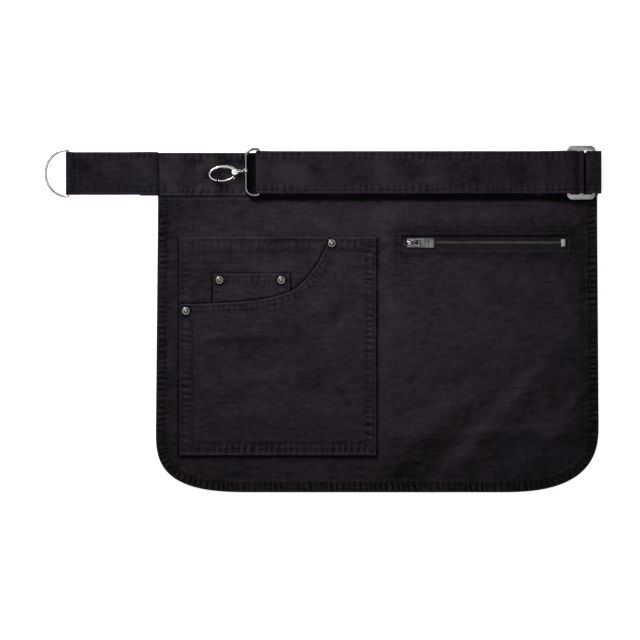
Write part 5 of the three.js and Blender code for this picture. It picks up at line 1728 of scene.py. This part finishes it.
class APRON_OT_hook(Maker, bpy.types.Operator):
    """The swivel snap hook: eye, cast body and sprung gate"""

    bl_idname = "apron.hook"
    bl_label = "Snap hook"

    def make(self, context):
        nickel = finish_of("polished_nickel")
        turn = Euler((0, math.radians(-1.6), math.radians(5)), "XYZ").to_matrix().to_4x4()
        at = Matrix.Translation((STRAP_RING_X - 13, -STRAP_DEPTH + 1.2, RING_Z)) @ turn
        seat(self.body_piece(nickel, at), "hook_body", "hook")
        seat(self.eye_piece(nickel, at), "hook_eye", "hook")
        seat(self.gate_piece(nickel, at), "hook_gate", "hook_gate")

    @staticmethod
    def oval(start, end, steps):
        turn = np.radians(np.linspace(start, end, steps))
        return [(-23.5 + 13 * math.cos(t), -0.8 + 7 * math.sin(t), 0) for t in turn]

    @staticmethod
    def along_x(profile, segments=28):
        return moved(turned([(r, x) for x, r in profile], segments), Matrix.Rotation(math.pi / 2, 4, "Y"))

    def body_piece(self, material, at):
        steps = 60
        swell = [mix(1.35, 2.1, float(smooth(k / (steps - 1), 0.3, 1))) for k in range(steps)]
        bow = tube(self.oval(242, 4, steps), swell, sides=20)
        cheek = [(0, -2.2), (3.1, -2.2), (3.8, -1.8), (4.2, -1.0)]
        cheek += [(out, -up) for out, up in reversed(cheek)]
        hub = moved(turned(cheek, 28), Matrix.Translation((-11, -0.2, 0)) @ Matrix.Diagonal((1, 0.88, 1, 1)))
        collar = self.along_x(((-9, 0), (-9, 2.6), (-6.4, 2.4), (-5, 1.9), (-4, 1.9), (-4, 0)))
        cast = join_shapes([moved(shape, at) for shape in (bow, hub, collar)])
        piece = solid_piece("hook_body_cast", cast, material)
        modify(piece, "REMESH", mode="VOXEL", voxel_size=0.00024, use_smooth_shade=True)
        modify(piece, "SMOOTH", factor=0.5, iterations=4)
        cut_away(piece, moved(self.along_x(((-7.7, 0), (-7.7, 1.4), (0, 1.4), (0, 0))), at))
        cut_away(piece, moved(box_shape(-15.6, -8.1, -9, 2.9, -0.9, 0.9), at))
        pin = turned(((0, -2.35), (0.8, -2.2), (0.8, 2.2), (0, 2.35)), 20)
        return join_mesh(piece, moved(pin, at @ Matrix.Translation((-11, 0, 0))))

    def eye_piece(self, material, at):
        profile = [(1.8, -1.5), (2.0, -1.75), (2.4, -1.8), (2.85, -1.55), (3.0, -1.0), (3.0, 1.0)]
        profile += [(2.85, 1.55), (2.4, 1.8), (2.0, 1.75), (1.8, 1.5), (1.8, -1.5)]
        ring = moved(turned(profile, 36), Matrix.Rotation(math.pi / 2, 4, "X"))
        stem = self.along_x(((-7.2, 0), (-7.2, 1.1), (-2.4, 1.1), (-2.4, 0)), 20)
        return solid_piece("hook_eye_ring", join_shapes([moved(ring, at), moved(stem, at)]), material)

    def gate_piece(self, material, at):
        steps = 24
        width = [mix(0.9, 1.25, min(1.0, k / 6, (steps - 1 - k) / 6)) for k in range(steps)]
        arc = tube(self.oval(247, 326, steps), width, sides=16)
        end = self.oval(322, 322, 1)[0]
        arm = tube([end, mix(np.array(end), np.array((-11, -1.1, 0)), 0.5), (-11, -1.1, 0)], 0.6, sides=12)
        nub = ((0, -0.8), (1.2, -0.8), (1.35, -0.6), (1.35, 0.6), (1.2, 0.8), (0, 0.8))
        nub = moved(turned(nub, 24), Matrix.Translation((-12.4, -5.9, 0)))
        washer = ((1.1, -0.6), (2.2, -0.6), (2.2, 0.6), (1.1, 0.6), (1.1, -0.6))
        washer = moved(turned(washer, 28), Matrix.Translation((-11, 0, 0)))
        shapes = [moved(s, at) for s in (arc, arm, nub, washer)]
        return solid_piece("hook_gate_wire", join_shapes(shapes), material)


class APRON_OT_buckle(Maker, bpy.types.Operator):
    """The three-bar slide buckle at the strap's right end"""

    bl_idname = "apron.buckle"
    bl_label = "Slide buckle"

    def make(self, context):
        x0, x1, depth, height, low, high = BUCKLE
        y0, y1 = -depth - height / 2, -depth + height / 2
        corner = 5.5
        outline = []
        for cx, cy, start in (
            (x1 - corner, y0 + corner, -0.5), (x1 - corner, y1 - corner, 0),
            (x0 + corner, y1 - corner, 0.5), (x0 + corner, y0 + corner, 1.0),
        ):
            for k in range(9):
                t = math.pi * (start + k / 16)
                outline.append((cx + corner * math.cos(t), cy + corner * math.sin(t)))
        piece = solid_piece("slide_buckle_plate", prism(outline, low, high), finish_of("brushed_steel"))
        slot, reach = (x1 - x0 - 3 * BUCKLE_BAR) / 2, BUCKLE_SLOT / 2
        middle = (x0 + x1) / 2
        for left in (x0 + BUCKLE_BAR, middle + BUCKLE_BAR / 2):
            cut_away(piece, box_shape(left, left + slot, -depth - reach, -depth + reach, low - 1, high + 1))
        round_edges(piece, 0.4, 3)
        seat(piece, "slide_buckle", "root")


class APRON_OT_rivets(Maker, bpy.types.Operator):
    """Four domed rivets on the pocket's corners"""

    bl_idname = "apron.rivets"
    bl_label = "Rivets"

    def make(self, context):
        cap = [
            (0, 0), (3.6, 0), (3.9, 0.1), (4.0, 0.35), (3.9, 0.6), (3.6, 0.8), (3.2, 0.86), (2.85, 0.75),
            (2.6, 0.62), (2.4, 0.7), (2.15, 1.0), (1.8, 1.33), (1.3, 1.57), (0.7, 1.68), (0, 1.7),
        ]
        for number in RIVETS:
            middle, foot = rivet_place(number)
            lift = float(ground(np.array([middle.x]), np.array([middle.y]))[0])
            shape = moved(turned(cap, 36), Matrix.Translation((middle.x, middle.y, foot + lift - RIVET_SINK)))
            piece = solid_piece(f"rivet_cap_{number}", shape, finish_of("antique_metal"))
            seat(piece, f"rivet_{number}", "root")


class APRON_OT_stitches(Maker, bpy.types.Operator):
    """Tonal topstitching along every seam"""

    bl_idname = "apron.stitches"
    bl_label = "Stitches"

    def make(self, context):
        settings = context.scene.apron_stitches
        points, edges = [], []
        for row in SEAM_ROWS:
            start = len(points)
            points.extend(row.tolist())
            edges.extend((start + k, start + k + 1) for k in range(len(row) - 1))
        piece = add_mesh("seam_stitches", points, [], edges=edges)
        grow(piece, "stitches", stitches, {
            "Pitch": settings.pitch, "Length": settings.length, "Thread": settings.thread,
            "Seed": settings.seed, "Material": finish_of("tonal_thread"),
        })
        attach(piece, "root")


MAKERS = (
    APRON_OT_stage, APRON_OT_panel, APRON_OT_waistband, APRON_OT_straps, APRON_OT_pockets,
    APRON_OT_zip_pocket, APRON_OT_rings, APRON_OT_hook, APRON_OT_buckle, APRON_OT_rivets,
    APRON_OT_stitches,
)


class APRON_PT_panel(bpy.types.Panel):
    """Sizes, colours and steps of the apron"""

    bl_idname = "APRON_PT_panel"
    bl_label = "Waist apron"
    bl_space_type = "VIEW_3D"
    bl_region_type = "UI"
    bl_category = "Apron"

    def draw(self, context):
        layout = self.layout
        for group in ("apron_cloth", "apron_stitches", "apron_looks", "apron_stage"):
            settings = getattr(context.scene, group)
            box = layout.box()
            for key in type(settings).__annotations__:
                box.prop(settings, key)
        for maker in MAKERS:
            layout.operator(maker.bl_idname)


GROUPS = {
    "apron_cloth": ApronCloth,
    "apron_stitches": ApronStitches,
    "apron_looks": ApronLooks,
    "apron_stage": ApronStage,
}


def register():
    for group in GROUPS.values():
        bpy.utils.register_class(group)
    for name, group in GROUPS.items():
        setattr(bpy.types.Scene, name, PointerProperty(type=group))
    for maker in MAKERS:
        bpy.utils.register_class(maker)
    bpy.utils.register_class(APRON_PT_panel)


def unregister():
    bpy.utils.unregister_class(APRON_PT_panel)
    for maker in reversed(MAKERS):
        bpy.utils.unregister_class(maker)
    for name, group in GROUPS.items():
        delattr(bpy.types.Scene, name)
        bpy.utils.unregister_class(group)


def main():
    register()
    for maker in MAKERS:
        area, step = maker.bl_idname.split(".")
        getattr(getattr(bpy.ops, area), step)()


if __name__ == "__main__":
    main()
